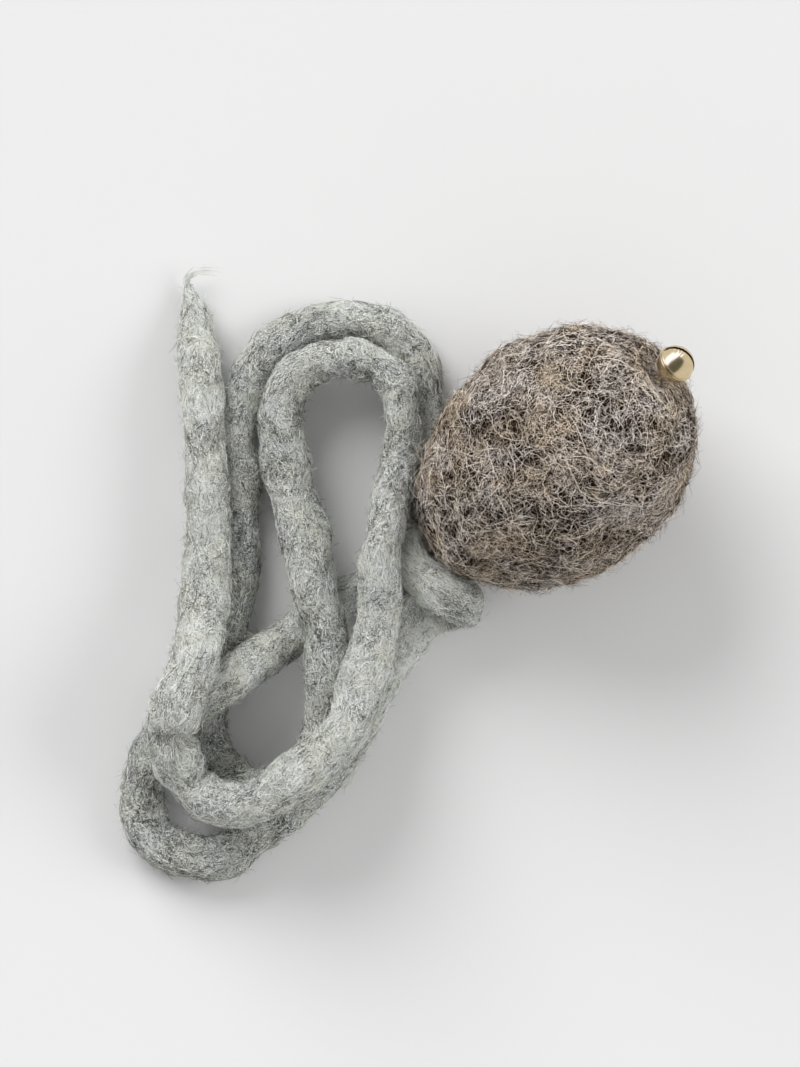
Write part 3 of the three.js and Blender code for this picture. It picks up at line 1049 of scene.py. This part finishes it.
@dataclass
class Cord:
    """The felted cord, as it lies. Sizes are in millimetres.

    The route's rows are points of its middle line with the radius there, from the start of the tip to the
    end in the ball, and it leaves the ball at the exit row. The tip's steps are shares of its length and of
    the first radius, with an offset along X. How much paler or darker the wool is drawn is given at places
    that count the route's points: partly the blend's own variation, partly painted shade on strands that
    lie in shadow and painted light on parts that the lamps leave darker.
    The wisp's points are measured from the end of the tip, and its hairs' lengths are shares of the line
    through them.
    """

    nap: float = 0.25
    tip_length: float = 12.0
    tip_droop_share: float = 0.2
    diameter: float = 9.3
    step: float = 0.8
    sides: int = 30
    route: tuple[tuple[float, float, float, float], ...] = (
        (-68.0, 30.4, 4.6, 4.0), (-67.2, 21.0, 8.4, 5.0), (-66.6, 9.5, 11.3, 4.4),
        (-66.0, -3.0, 12.0, 4.6), (-65.7, -15.6, 12.6, 5.1), (-67.2, -28.1, 15.5, 5.3),
        (-69.3, -38.1, 22.4, 5.6), (-71.8, -45.9, 24.2, 5.6), (-73.5, -51.9, 22.8, 5.3),
        (-72.0, -58.6, 17.8, 5.2), (-67.4, -64.2, 16.2, 5.2), (-60.7, -66.3, 19.4, 5.1),
        (-53.2, -64.7, 22.8, 5.0), (-45.7, -59.9, 24.8, 5.1), (-39.4, -54.0, 24.0, 5.2),
        (-35.0, -46.1, 22.4, 5.1), (-31.9, -36.5, 20.4, 5.0), (-30.2, -25.6, 21.5, 4.6),
        (-29.4, -15.6, 24.4, 4.3), (-28.1, -5.1, 20.8, 4.0), (-26.2, 4.3, 15.2, 3.9),
        (-25.2, 14.8, 14.3, 4.0), (-27.9, 22.5, 12.4, 4.3), (-36.7, 26.5, 10.6, 4.4),
        (-45.9, 24.2, 10.7, 4.5), (-50.5, 15.8, 10.0, 4.7), (-49.0, 3.3, 9.4, 5.1),
        (-45.9, -9.3, 11.4, 5.3), (-43.2, -21.8, 14.8, 5.2), (-41.3, -34.4, 14.4, 5.0),
        (-41.1, -45.9, 14.6, 4.8), (-42.8, -54.8, 14.6, 4.6), (-48.0, -61.5, 14.6, 4.5),
        (-55.3, -63.6, 11.6, 4.5), (-62.0, -61.1, 6.0, 4.5), (-66.0, -54.2, 4.7, 4.5),
        (-65.7, -44.8, 4.7, 4.5), (-62.8, -33.3, 4.7, 4.5), (-59.7, -19.7, 4.7, 4.4),
        (-59.1, -3.0, 4.7, 4.4), (-59.1, 11.6, 4.7, 4.4), (-57.4, 22.1, 4.7, 4.4),
        (-49.9, 30.8, 4.7, 4.4), (-37.5, 34.8, 4.7, 4.5), (-26.0, 30.8, 4.7, 4.5),
        (-20.8, 22.1, 4.7, 4.5), (-22.1, 9.5, 4.7, 4.4), (-24.6, -0.9, 5.2, 4.4),
        (-25.6, -8.9, 11.6, 4.3), (-23.1, -16.0, 15.6, 4.5), (-19.1, -19.9, 16.2, 4.6),
        (-16.8, -21.8, 16.3, 4.6), (-13.7, -24.3, 14.7, 4.4), (-12.2, -25.6, 10.5, 4.3),
        (-13.9, -25.9, 6.3, 4.2), (-17.9, -26.7, 4.7, 4.2), (-21.9, -28.9, 4.7, 4.3),
        (-26.0, -34.8, 4.7, 4.5), (-33.1, -46.3, 4.7, 4.6), (-40.5, -58.6, 4.7, 4.7),
        (-51.7, -69.9, 4.7, 4.7), (-64.9, -77.8, 4.7, 4.8), (-76.4, -75.3, 4.7, 4.9),
        (-79.8, -65.5, 4.7, 4.9), (-77.0, -56.1, 7.2, 4.8), (-69.9, -46.5, 14.2, 4.7),
        (-61.2, -40.0, 14.3, 4.6), (-49.7, -32.3, 6.8, 4.6), (-38.2, -24.3, 4.8, 4.5),
        (-27.3, -18.5, 4.8, 4.4), (-20.6, -15.1, 5.1, 4.4), (-16.4, -12.2, 8.6, 4.4),
        (-12.2, -9.1, 12.2, 4.2), (-8.3, -6.1, 15.2, 4.0),
    )
    exit_row: int = -3
    tip_steps: tuple[tuple[float, float, float], ...] = (
        (1.0, 0.13, -1.15), (0.86, 0.36, -0.85), (0.62, 0.69, -0.25), (0.3, 0.93, 0.0),
    )
    wisp_points: tuple[tuple[float, float, float], ...] = (
        (0.6, -3.5, 0.6), (0.0, 0.2, 0.4), (0.1, 1.4, 1.1), (0.9, 2.4, 1.9), (3.2, 2.9, 2.3), (6.3, 2.1, 1.7),
    )
    lumps: tuple[tuple[Swells, float], ...] = (
        (Swells(16.0, seed=21), 0.3),
        (Swells(8.0, seed=22), 0.14),
        (Swells(3.5, seed=23), 0.04),
    )
    lump_reach: float = 2.0
    full_radius: float = 4.0
    root_margin: float = 1.0
    least_radius: float = 1.5
    wrinkle_depth: float = 0.36
    wrinkle_pitch: float = 6.0
    wrinkle_swell_share: float = 0.25
    sharpest_bend: float = 0.8
    sway: float = 1.7
    sway_length: float = 5.3
    # Paler and darker wool along the cord: partly the blend's own variation, partly painted shade on strands
    # that lie in shadow (near 34 to 37) and painted light on parts that the lamps leave darker, such as the
    # knot's lower lobe (near 55 to 57).
    blend_and_painted_shading: tuple[tuple[float, float], ...] = (
        (0, 0.09), (6, 0.06), (12, 0.04), (15, 0.03), (17, 0.07), (19, 0.06), (21, 0.01), (24, 0.0),
        (30, -0.04), (34, -0.1), (37, -0.1), (40, 0.0), (47, 0.0), (49, 0.12), (50, 0.1), (51.5, -0.03),
        (53.5, -0.02), (55, 0.15), (57, 0.15), (58.5, -0.03), (60, -0.07), (64, -0.09), (66, 0.02),
        (68, 0.04), (70, -0.02), (73, -0.02),
    )
    pinches: tuple[Pinch, ...] = (
        Pinch(8.0, 2.5, 1.6, (0.7, 0.1, 0.9)),
        Pinch(9.6, 0.7, 1.6, (0.9, 0.6, 0.3)),
        Pinch(22.3, 0.9, 1.3, (-0.3, -0.9, 0.5)),
        Pinch(50.8, -1.0, 5.0, (-0.5, -0.7, 0.4)),
        Pinch(51.6, -1.7, 5.0, (0.7, 0.7, 0.2)),
        Pinch(55.7, -2.8, 5.0, (-0.5, 0.8, 0.3)),
    )
    # Each fibre has a random tone, but the under layer's range runs darker and the top one's paler: painted
    # shade deeper in the felt.
    layers: tuple[Fibres, ...] = (
        Fibres(
            "cord_fibres_under", 33000, (1.2, 3.0), (0.06, 0.1), (0.02, 0.15), (0.0, 0.78), 41, 3, **LAID
        ),
        Fibres(
            "cord_fibres_middle", 33000, (1.2, 3.2), (0.06, 0.1), (0.04, 0.2), (0.0, 1.0), 42, 3, **LAID
        ),
        Fibres(
            "cord_fibres_top", 24000, (1.8, 4.6), (0.055, 0.09), (0.05, 0.35), (0.2, 1.45), 43, 4, **LAID
        ),
        Fibres(
            "cord_stray_hairs", 12000, (1.8, 5.0), (0.045, 0.07), (0.3, 1.9), (0.0, 0.85), 44, 8, Layer.LOOSE,
            curl=0.45, crimp=0.7, roll=1.5,
        ),
    )
    wisp_hairs: Fibres = Fibres(
        "cord_tip_wisp", 70, (0.45, 1.0), (0.05, 0.08), (0.0, 0.0), (0.3, 1.0), 45, 14, roll=1.5
    )
    wisp_spread: float = 0.9
    wisp_wave: float = 0.18
    wisp_turns: float = 5.0
    wisp_flatness: float = 0.6
    wisp_floor: float = 0.15
    line: np.ndarray = field(init=False)
    run: np.ndarray = field(init=False)
    radius: np.ndarray = field(init=False)
    side: np.ndarray = field(init=False)
    over: np.ndarray = field(init=False)
    bend: np.ndarray = field(init=False)
    pinch_runs: np.ndarray = field(init=False)
    blend_shading_runs: np.ndarray = field(init=False)

    def __post_init__(self) -> None:
        """Works out the middle line from the tip to the end in the ball, evenly spaced, and its frames."""
        table = np.array(self.route)
        start = table[0, :3]
        lead = start - table[1, :3]
        lead = unit(unit(lead * [1, 1, 0]) - [0, 0, self.tip_droop_share])
        tip = [start + lead * self.tip_length * share + [aside, 0, 0] for share, _, aside in self.tip_steps]
        tip_radii = [table[0, 3] * share for _, share, _ in self.tip_steps]
        line = np.concatenate([tip, smooth_line(table[:, :3])])
        run = run_along(line)
        knots = np.concatenate([run[: len(tip)], run[len(tip) :: SPAN_STEPS]])
        self.run = np.linspace(0, run[-1], round(run[-1] / self.step) + 1)
        self.line = read_off(self.run, run, line)
        self.radius = np.interp(self.run, knots, np.concatenate([tip_radii, table[:, 3]]))
        numbers = np.arange(len(knots)) - len(tip)
        self.pinch_runs = np.interp([pinch.place for pinch in self.pinches], numbers, knots)
        self.blend_shading_runs = np.interp([place for place, _ in self.blend_and_painted_shading], numbers, knots)
        ahead, self.side, self.over = carried_frame(self.line)
        self.bend = np.gradient(ahead, self.run, axis=0)

    def creases(
        self, run: np.ndarray, normals: np.ndarray, radius: np.ndarray, bend: np.ndarray
    ) -> np.ndarray:
        """How deep the felt is creased at points of the surface.

        On the inner side of a bend the felt gathers into wrinkles: sharp grooves at an uneven pitch along the
        cord, whose depth follows the radius times the bend along the normal. The pinches come on top.

        Args:
            run: Distances along the cord.
            normals: The surface's normals there.
            radius: The cord's radii there.
            bend: The cord's curvature there, as vectors towards the inside of the bend.

        Returns:
            The depth at each point, in millimetres.
        """
        inner = np.clip((normals * bend).sum(-1) * radius, 0, self.sharpest_bend)
        phase = TURN * run / self.wrinkle_pitch + self.sway * np.sin(run / self.sway_length)
        depth = self.wrinkle_depth * inner * ((0.5 + 0.5 * np.cos(phase)) ** 3 - self.wrinkle_swell_share)
        for pinch, place in zip(self.pinches, self.pinch_runs, strict=True):
            depth = depth + pinch.at(run - place, normals)
        return depth

    def surface(
        self, run: np.ndarray, about: np.ndarray, height: np.ndarray | float
    ) -> tuple[np.ndarray, np.ndarray]:
        """Points on the lumpy cord or above it.

        The surface at a distance along the cord and an angle about it lies at the middle line, plus the
        radius and the lumps along the direction that the angle gives in the carried frame. What would lie
        below the floor is pressed onto it.

        Args:
            run: Distances along the cord, in millimetres.
            about: Angles about it.
            height: How far above the surface the points lie.

        Returns:
            The places and the normals.
        """
        tables = (self.line, self.side, self.over, self.radius, self.bend)
        middle, side, over, radius, bend = (read_off(run, self.run, table) for table in tables)
        normals = unit(swung(about, side, over))
        places = middle + radius[..., None] * normals
        grown = sum(size * lumps.at(places + normals * self.lump_reach) for lumps, size in self.lumps)
        grown = grown - self.creases(run, normals, radius, bend) - self.nap
        places = places + (grown * np.minimum(radius / self.full_radius, 1) + height)[..., None] * normals
        places[..., 2] = np.maximum(places[..., 2], 0.0)
        return places, normals

    def skin(self) -> bpy.types.Object:
        """The cord's body: rings of points round the middle line at even steps.

        Returns:
            The object, with an attribute of the blend's own variation and painted shading.
        """
        places, _ = self.surface(*np.meshgrid(self.run, round_angles(self.sides), indexing="ij"), 0.0)
        body = closed_tube("felt_cord_body", places * MM, flip=True)
        pale = self.blend_and_shading_at(self.run)
        mark(body, "blend_and_painted_shading", np.concatenate([np.repeat(pale, self.sides), pale[:1], pale[-1:]]))
        return body

    def blend_and_shading_at(self, run: np.ndarray) -> np.ndarray:
        """How much paler or darker the wool is drawn along the cord: its blend's own variation and painted
        shading.
        """
        return np.interp(run, self.blend_shading_runs, [pale for _, pale in self.blend_and_painted_shading])

    def fibre_layer(self, fibres: Fibres) -> bpy.types.Object:
        """A layer of loose fibres on the cord, laid out along and round it, and raised by their own heights.

        Their roots are spread along the cord by its girth, and a little more over its thin end.

        Args:
            fibres: What the fibres are like.

        Returns:
            The layer.
        """
        rng = np.random.default_rng(fibres.seed)
        across, along, height = fibres.lines(rng)
        weight = np.cumsum(self.radius + self.root_margin)
        root = np.interp(rng.uniform(0, weight[-1], size=fibres.count), weight, self.run)[:, None]
        about = rng.uniform(0, TURN, size=(fibres.count, 1))
        run = np.clip(root + along, 0, self.run[-1])
        around = about + across / np.maximum(np.interp(root, self.run, self.radius), self.least_radius)
        places, normals = self.surface(run, around, height)
        # The fibres take the cord's blend variation and painted shading where they are rooted.
        return fibres.build(places * MM, normals, rng, self.blend_and_shading_at(root[:, 0]))

    def wisp(self) -> bpy.types.Object:
        """The loose fibres that trail from the tip.

        Each follows one bent line for a share of its length, the further out the wider apart, with a small
        wave of its own, a sine of the share.

        Returns:
            The layer.
        """
        hairs = self.wisp_hairs
        rng = np.random.default_rng(hairs.seed)
        line = smooth_line(self.line[0] + np.array(self.wisp_points))
        run = run_along(line) / run_along(line)[-1]
        share = hairs.shares * rng.uniform(*hairs.length, size=(hairs.count, 1))
        phase, pitch = rng.uniform(0, TURN, size=(2, hairs.count, 1, 3))
        apart = rng.normal(0, self.wisp_spread, size=(hairs.count, 1, 3)) * share[..., None]
        apart = apart + self.wisp_wave * np.sin(share[..., None] * (self.wisp_turns + pitch) + phase)
        places = read_off(share, run, line) + apart * [1, 1, self.wisp_flatness]
        places[..., 2] = np.maximum(places[..., 2], self.wisp_floor)
        return hairs.build(places * MM, np.broadcast_to([0.0, 0.0, 1.0], places.shape), rng)

    def build(self) -> None:
        body = dress(self.skin(), GREY_WOOL.mat(), "ball")
        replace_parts(body, "felt_cord")
        finish = GREY_WOOL.fibres()
        pieces = [self.fibre_layer(layer) for layer in self.layers] + [self.wisp()]
        for piece in pieces:
            dress(piece, finish, "ball")


@dataclass
class Bell:
    """The jingle bell: two thin half shells with a rolled lip, a slot, a wire shank, a pellet and its thread.

    Sizes are in millimetres. Its own frame starts at the crossing of its shank and its thread, with Y along
    the ball's axis and X along the thread.
    """

    ball: Ball
    diameter: float = 7.8
    wall: float = 0.4
    lip: float = 0.2
    lip_height: float = 0.35
    lip_overlap: float = 0.02
    seam: float = 0.1
    twist: float = math.radians(13)
    sink: float = 0.5
    slot_width: float = 0.8
    slot_start: float = 1.12
    slot_end_radius: float = 0.68
    ripple: float = 0.1
    ripple_reach: float = 0.8
    ripple_pitch: float = 0.7
    ripple_start: float = 0.3
    ripple_fade: float = 1.8
    bead: float = 0.05
    bead_width: float = 0.35
    shank_wire: float = 0.7
    shank_eye: float = 1.2
    shank_reach: float = 0.8
    shank_grip: float = 0.4
    pellet_diameter: float = 2.8
    pellet_gap: float = 0.12
    thread_diameter: float = 0.8
    thread_spread: float = 4.0
    thread_depth: float = 7.0
    thread_lay: float = 1.5
    neck_depth: float = 1.5
    neck_share: float = 0.85
    ply_share: float = 0.95
    sides: int = 96
    steps: int = 40
    lip_points: int = 9
    slot_columns: int = 120
    slot_rows: int = 28
    shank_points: int = 17
    leg_steps: int = 7
    wire_sides: int = 16
    pellet_rings: int = 24
    pellet_sides: int = 40
    thread_steps: int = 16
    ply_sides: int = 10
    origin: np.ndarray = field(init=False)
    frame: np.ndarray = field(init=False)
    outer: float = field(init=False)
    inner: float = field(init=False)
    middle: float = field(init=False)

    def __post_init__(self) -> None:
        """Works out the bell's frame, its two radii and the height of its middle above the crossing."""
        along = self.ball.axis
        x = self.ball.level * math.cos(self.twist) - self.ball.crown * math.sin(self.twist)
        self.frame = np.stack([x, along, np.cross(x, along)])
        self.origin = self.ball.middle + along * (self.ball.length / 2 - self.sink)
        self.outer = self.diameter / 2
        self.inner = self.outer - self.wall
        self.middle = self.shank_reach + self.outer

    def placed(self, points: np.ndarray) -> np.ndarray:
        """Points of the bell's frame in the scene, in metres."""
        return (self.origin + points @ self.frame) * MM

    @staticmethod
    def sharpened(piece: bpy.types.Object, angle: float = 38.0) -> bpy.types.Object:
        """Keeps edges sharper than an angle in degrees crisp in the smooth shading."""
        piece.data.set_sharp_from_angle(angle=math.radians(angle))
        return piece

    def lip_profile(self, side: int) -> np.ndarray:
        """The lip of a half shell, from its inner edge round its rolled outer edge to the wall outside.

        Args:
            side: 1 for the slotted half, -1 for the other.

        Returns:
            Distances from the axis and places along it.
        """
        low, high = self.seam / 2, self.seam / 2 + self.lip_height
        turn = np.linspace(-np.pi / 2, np.pi / 2, self.lip_points)
        bulge = self.lip_height / 2
        out = self.outer + self.lip - bulge + bulge * np.cos(turn)
        round_edge = np.stack([out, (low + high) / 2 + bulge * np.sin(turn)], -1)
        start = np.array([[math.sqrt(self.inner**2 - low**2), low]])
        end = np.array([[math.sqrt(self.outer**2 - high**2), high + self.lip_overlap]])
        profile = np.concatenate([start, round_edge, end])
        return np.stack([profile[:, 0], self.middle + side * profile[:, 1]], -1)

    def dome(self, radius: float, low: float) -> np.ndarray:
        """The profile of the half ball that faces the ball: r cos t out and r sin t from the bell's middle.

        Args:
            radius: The half ball's radius.
            low: The height at which it ends.

        Returns:
            Distances from the axis and places along it, from near the pole to the seam.
        """
        pole_gap = 0.02
        turn = np.linspace(np.pi / 2 - pole_gap, math.asin(low / radius), self.steps)
        return np.stack([radius * np.cos(turn), self.middle - radius * np.sin(turn)], -1)

    def top_shell(self) -> bpy.types.Object:
        """The half shell that faces the ball: its inside, its lip and its outside as one closed profile.

        Returns:
            The object.
        """
        inside = self.dome(self.inner, self.seam / 2)
        outside = self.dome(self.outer, self.seam / 2 + self.lip_height)[::-1]
        profile = np.concatenate([inside, self.lip_profile(-1)[1:-1], outside])
        return self.sharpened(closed_tube("bell_top", self.placed(revolved(profile, self.sides))))

    def slot_edge(self, radius: np.ndarray) -> np.ndarray:
        """The angle from the pole at which the slot's edge crosses a circle about the middle.

        The circles stand square to the slot, a straight cut with a round hole at its lowest part. The cut is
        met at the arc sine of half its width over the circle's radius r, and the hole, of radius h at a
        height s, at the arc cosine of (r squared + s squared - h squared) / (2 r s).

        Args:
            radius: The circles' radii.

        Returns:
            The angles, 0 where there is no slot.
        """
        half, s, h = self.slot_width / 2, self.slot_start, self.slot_end_radius
        cut = np.where(radius > s, np.arcsin(np.minimum(half / radius, 1)), 0)
        cosine = (radius**2 + s**2 - h**2) / (2 * radius * s)
        hole = np.where(np.abs(radius - s) < h, np.arccos(np.clip(cosine, -1, 1)), 0)
        return np.maximum(cut, hole)

    def half_dome(self, radius: float, low: float, side: int) -> np.ndarray:
        """Half of a slotted dome: columns along the slot, rows from the slot's edge to the seam.

        Near one end of the slot the stamping leaves shallow ripples along its edge, a cosine that fades with
        the distance from the edge, and a fine bead lies all along it. The row at the seam stays on the dome.

        Args:
            radius: The dome's radius.
            low: The height above the middle at which it ends.
            side: The side of the slot that it lies on, 1 or -1.

        Returns:
            The points, columns by rows by 3, in the bell's frame.
        """
        just_inside = 0.9999
        reach = math.sqrt(radius**2 - low**2) * just_inside
        x = reach * np.sin(np.linspace(-np.pi / 2, np.pi / 2, self.slot_columns))[:, None]
        ring = np.sqrt(radius**2 - x**2)
        first = self.slot_edge(ring)
        last = np.arccos(np.minimum(low / ring, 1))
        share = np.linspace(0, 1, self.slot_rows)[None, :] ** 1.3
        turn = np.minimum(first, last) + np.maximum(last - first, 0) * share
        away = (turn - first) * radius
        ripple = self.ripple * np.exp(-away / self.ripple_reach)
        ripple = ripple * ease((self.ripple_start - x) / self.ripple_fade)
        ripple = ripple * np.cos(TURN * x / self.ripple_pitch)
        bead = self.bead * np.exp(-((away / self.bead_width) ** 2)) * (ring > self.slot_start)
        grow = 1 + (ripple + bead) * (share < 1) / radius
        y, z = ring * np.cos(turn) * grow, side * ring * np.sin(turn) * grow
        return np.stack([x + 0 * turn, self.middle + y, z], -1)

    def slotted_shell(self) -> bpy.types.Object:
        """The half shell that faces away, as two closed halves on either side of the slot and a lip.

        Returns:
            The object.
        """
        low = self.seam / 2
        parts = []
        for side in (1, -1):
            outside = self.half_dome(self.outer, low + self.lip_height, side)
            inside = self.half_dome(self.inner, low, side)[:, ::-1]
            parts.append(closed_skin(np.concatenate([outside, inside], axis=1), flip=side < 0))
        lip = revolved(self.lip_profile(1), self.sides)
        quads = ring_faces(len(lip) + 1, self.sides) % (len(lip) * self.sides)
        parts.append((lip.reshape(-1, 3), halved(quads)))
        starts = np.cumsum([0] + [len(points) for points, _ in parts])
        points = np.concatenate([points for points, _ in parts])
        faces = np.concatenate([faces + start for (_, faces), start in zip(parts, starts)])
        return self.sharpened(mesh_object("bell_slotted", self.placed(points), faces))

    def tube(self, name: str, path: np.ndarray, radius: float, sides: int) -> bpy.types.Object:
        """A round tube along a path: a circle in the path's carried frame at each of its points.

        Args:
            name: The piece's name.
            path: Points of the bell's frame.
            radius: The tube's radius.
            sides: The number of its sides.

        Returns:
            The object.
        """
        _, side, over = carried_frame(path)
        rings = path[:, None] + radius * swung(round_angles(sides)[None, :], side[:, None], over[:, None])
        return closed_tube(name, self.placed(rings), flip=True)

    def shank(self) -> bpy.types.Object:
        """The wire loop: two straight legs through the top shell and a half circle round the thread.

        Returns:
            The object.
        """
        bend = (self.shank_eye + self.shank_wire) / 2
        top = self.middle - math.sqrt(self.inner**2 - bend**2) + self.shank_grip
        turn = np.linspace(0, np.pi, self.shank_points)
        half_turn = np.stack([0 * turn, -bend * np.sin(turn), bend * np.cos(turn)], -1)
        leg = np.linspace(1, 0, self.leg_steps + 1)[:-1, None] * np.array([0, top, 0])
        path = np.concatenate([leg + [0, 0, bend], half_turn, leg[::-1] - [0, 0, bend]])
        return self.tube("bell_wire_shank", path, self.shank_wire / 2, self.wire_sides)

    def pellet(self) -> bpy.types.Object:
        """The loose pellet: a ball at the lowest place inside the bell.

        Returns:
            The object.
        """
        radius = self.pellet_diameter / 2
        drop = self.inner - radius - self.pellet_gap
        turn = np.linspace(0, np.pi, self.pellet_rings + 2)[1:-1]
        ball = radius * revolved(np.column_stack([np.sin(turn), np.cos(turn)]), self.pellet_sides)
        tilt = self.ball.tilt
        place = np.array([0, self.middle - drop * math.sin(tilt), -drop * math.cos(tilt)])
        return closed_tube("bell_shot", self.placed(ball + place))

    def thread(self) -> list[bpy.types.Object]:
        """The sewing thread: two plies twisted about one line, up out of the ball, through the eye and back.

        Returns:
            The two plies.
        """
        leg, depth = self.thread_spread / 2, self.thread_depth
        bare = [(-leg, -depth), (-leg, -depth / 2), (-self.neck_share * leg, -self.neck_depth), (0.0, 0.0)]
        knots = np.array(bare + [(-x, y) for x, y in bare[-2::-1]])
        path = smooth_line(np.column_stack([knots, 0 * knots[:, 0]]), self.thread_steps)
        _, side, over = carried_frame(path)
        ply = self.thread_diameter / 4
        off = ply * self.ply_share * swung(run_along(path) * TURN / self.thread_lay, side, over)
        lines = (path + off, path - off)
        return [self.tube(f"bell_thread_ply_{i}", line, ply, self.ply_sides) for i, line in enumerate(lines)]

    def build(self) -> None:
        """Makes and dresses the bell's shells, shank and pellet, and the thread that holds it."""
        gold, steel, thread = GOLD.material(), STEEL.material(), THREAD.material()
        pieces = (
            (self.top_shell(), gold, "bell", "pale_brass", "bell_top_shell"),
            (self.slotted_shell(), gold, "bell", "pale_brass", "bell_slotted_shell"),
            (self.shank(), gold, "bell", "pale_brass", "bell_shank"),
            (self.pellet(), steel, "pellet", "pellet_steel", "bell_pellet"),
            *((ply, thread, "ball", "sewing_thread", "bell_thread") for ply in self.thread()),
        )
        for piece, material, body, slot, node in pieces:
            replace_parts(dress(piece, material, body), node)


@dataclass
class Studio:
    """The camera, the lamps, the cards and the floor. Lengths are in metres."""

    image_size: tuple[int, int] = (800, 1067)
    scale: float = 0.209 * MM
    origin_pixel: tuple[float, float] = (522.6, 485.6)
    camera_height: float = 6.0
    scale_height: float = 0.02
    sensor: float = 36.0
    floor_size: float = 12.0
    floor_gap: float = 0.0001
    surround_light: float = 0.5
    surround_seen: float = 0.86
    dark_card: tuple = ((-3.6, -1.9, 1.6), (-1.6, -4.0, 1.6), (2.2, 0.8, 1.6), (1.0, 2.0, 1.6))
    bright_card: tuple = ((-3.0, -0.3, 0.5), (-2.4, -0.2, 1.9), (1.6, 2.3, 1.9), (2.0, 3.0, 0.5))

    def camera(self) -> None:
        """A camera straight above, whose picture holds the photograph's frame at the photograph's scale."""
        data = bpy.data.cameras.new("camera")
        data.sensor_width = self.sensor
        distance = self.camera_height - self.scale_height
        data.lens = self.sensor * distance / (self.image_size[1] * self.scale)
        data.clip_start, data.clip_end = 0.1, 20.0
        camera = bpy.data.objects.new("camera", data)
        middle_x = (self.image_size[0] / 2 - self.origin_pixel[0]) * self.scale
        middle_y = (self.origin_pixel[1] - self.image_size[1] / 2) * self.scale
        camera.location = (middle_x, middle_y, self.camera_height)
        bpy.context.scene.collection.objects.link(camera)
        bpy.context.scene.camera = camera

    @staticmethod
    def sheet(name: str, corners: np.ndarray, finish: Plain) -> bpy.types.Object:
        """A flat sheet of the stage.

        Args:
            name: Its name.
            corners: Its four corners, in metres.
            finish: Its finish.

        Returns:
            The object.
        """
        piece = mesh_object(name, corners, np.array([[0, 1, 2, 3]]))
        piece.data.materials.append(finish.material())
        return piece

    def cards(self) -> None:
        """A dark card above the toy and a bright one behind it, which only polished metal reflects."""
        for corners, finish in ((self.dark_card, DARK_CARD), (self.bright_card, BRIGHT_CARD)):
            card = self.sheet(finish.name, np.array(corners), finish)
            card.visible_camera = card.visible_diffuse = False
            card.visible_shadow = card.visible_transmission = False

    def lamp(self, name: str, place: tuple, spread: float, strength: float) -> None:
        """A far soft lamp that lights the whole floor evenly and isn't mirrored in polished metal.

        Args:
            name: The lamp's name.
            place: The way from the toy to the lamp.
            spread: How wide the lamp looks from the toy, in degrees.
            strength: Its light on a surface that faces it, in watts a square metre.
        """
        data = bpy.data.lights.new(name, "SUN")
        data.angle, data.energy = math.radians(spread), strength
        lamp = bpy.data.objects.new(name, data)
        lamp.location = place
        lamp.rotation_euler = Vector(place).to_track_quat("Z", "Y").to_euler()
        lamp.visible_glossy = False
        bpy.context.scene.collection.objects.link(lamp)

    def floor(self) -> None:
        """A plain pale floor, a little below the toy."""
        half = self.floor_size / 2
        corners = np.array([[-half, -half, 0], [half, -half, 0], [half, half, 0], [-half, half, 0]])
        self.sheet("floor", corners - [0, 0, self.floor_gap], FLOOR)

    def world(self) -> None:
        """An even pale surround, which the lens and polished metal see a little paler than it lights."""
        world = bpy.data.worlds.new("surround")
        world.use_nodes = True
        t = NodeTree(world.node_tree)
        back = world.node_tree.nodes["Background"]
        rays = t.add("LightPath").outputs
        seen = t.math("MAXIMUM", rays["Is Camera Ray"], rays["Is Glossy Ray"])
        seen = t.math("MAXIMUM", seen, rays["Is Transmission Ray"])
        light = self.surround_light
        back.inputs["Color"].default_value = (1.0, 1.0, 1.0, 1.0)
        t.join(t.math("MULTIPLY_ADD", seen, self.surround_seen - light, light), back.inputs["Strength"])
        bpy.context.scene.world = world

    def light(self) -> None:
        """Soft light from the upper left, a weaker fill from the right, the cards and the surround."""
        self.lamp("key", (-0.68, 1.11, 0.9), 42.0, 2.32)
        self.lamp("fill", (1.12, 0.11, 0.8), 36.0, 1.15)
        self.cards()
        self.world()


def main() -> None:
    """Builds the scene: the camera, the cord, the ball, the bell, the floor and the light."""
    logging.basicConfig(level=logging.INFO, format="%(message)s")
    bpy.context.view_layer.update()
    bpy.context.scene.view_settings.view_transform = "Standard"
    studio = Studio()
    studio.camera()
    Cord().build()
    ball = Ball()
    ball.build()
    Bell(ball).build()
    studio.floor()
    studio.light()


if __name__ == "__main__":
    main()
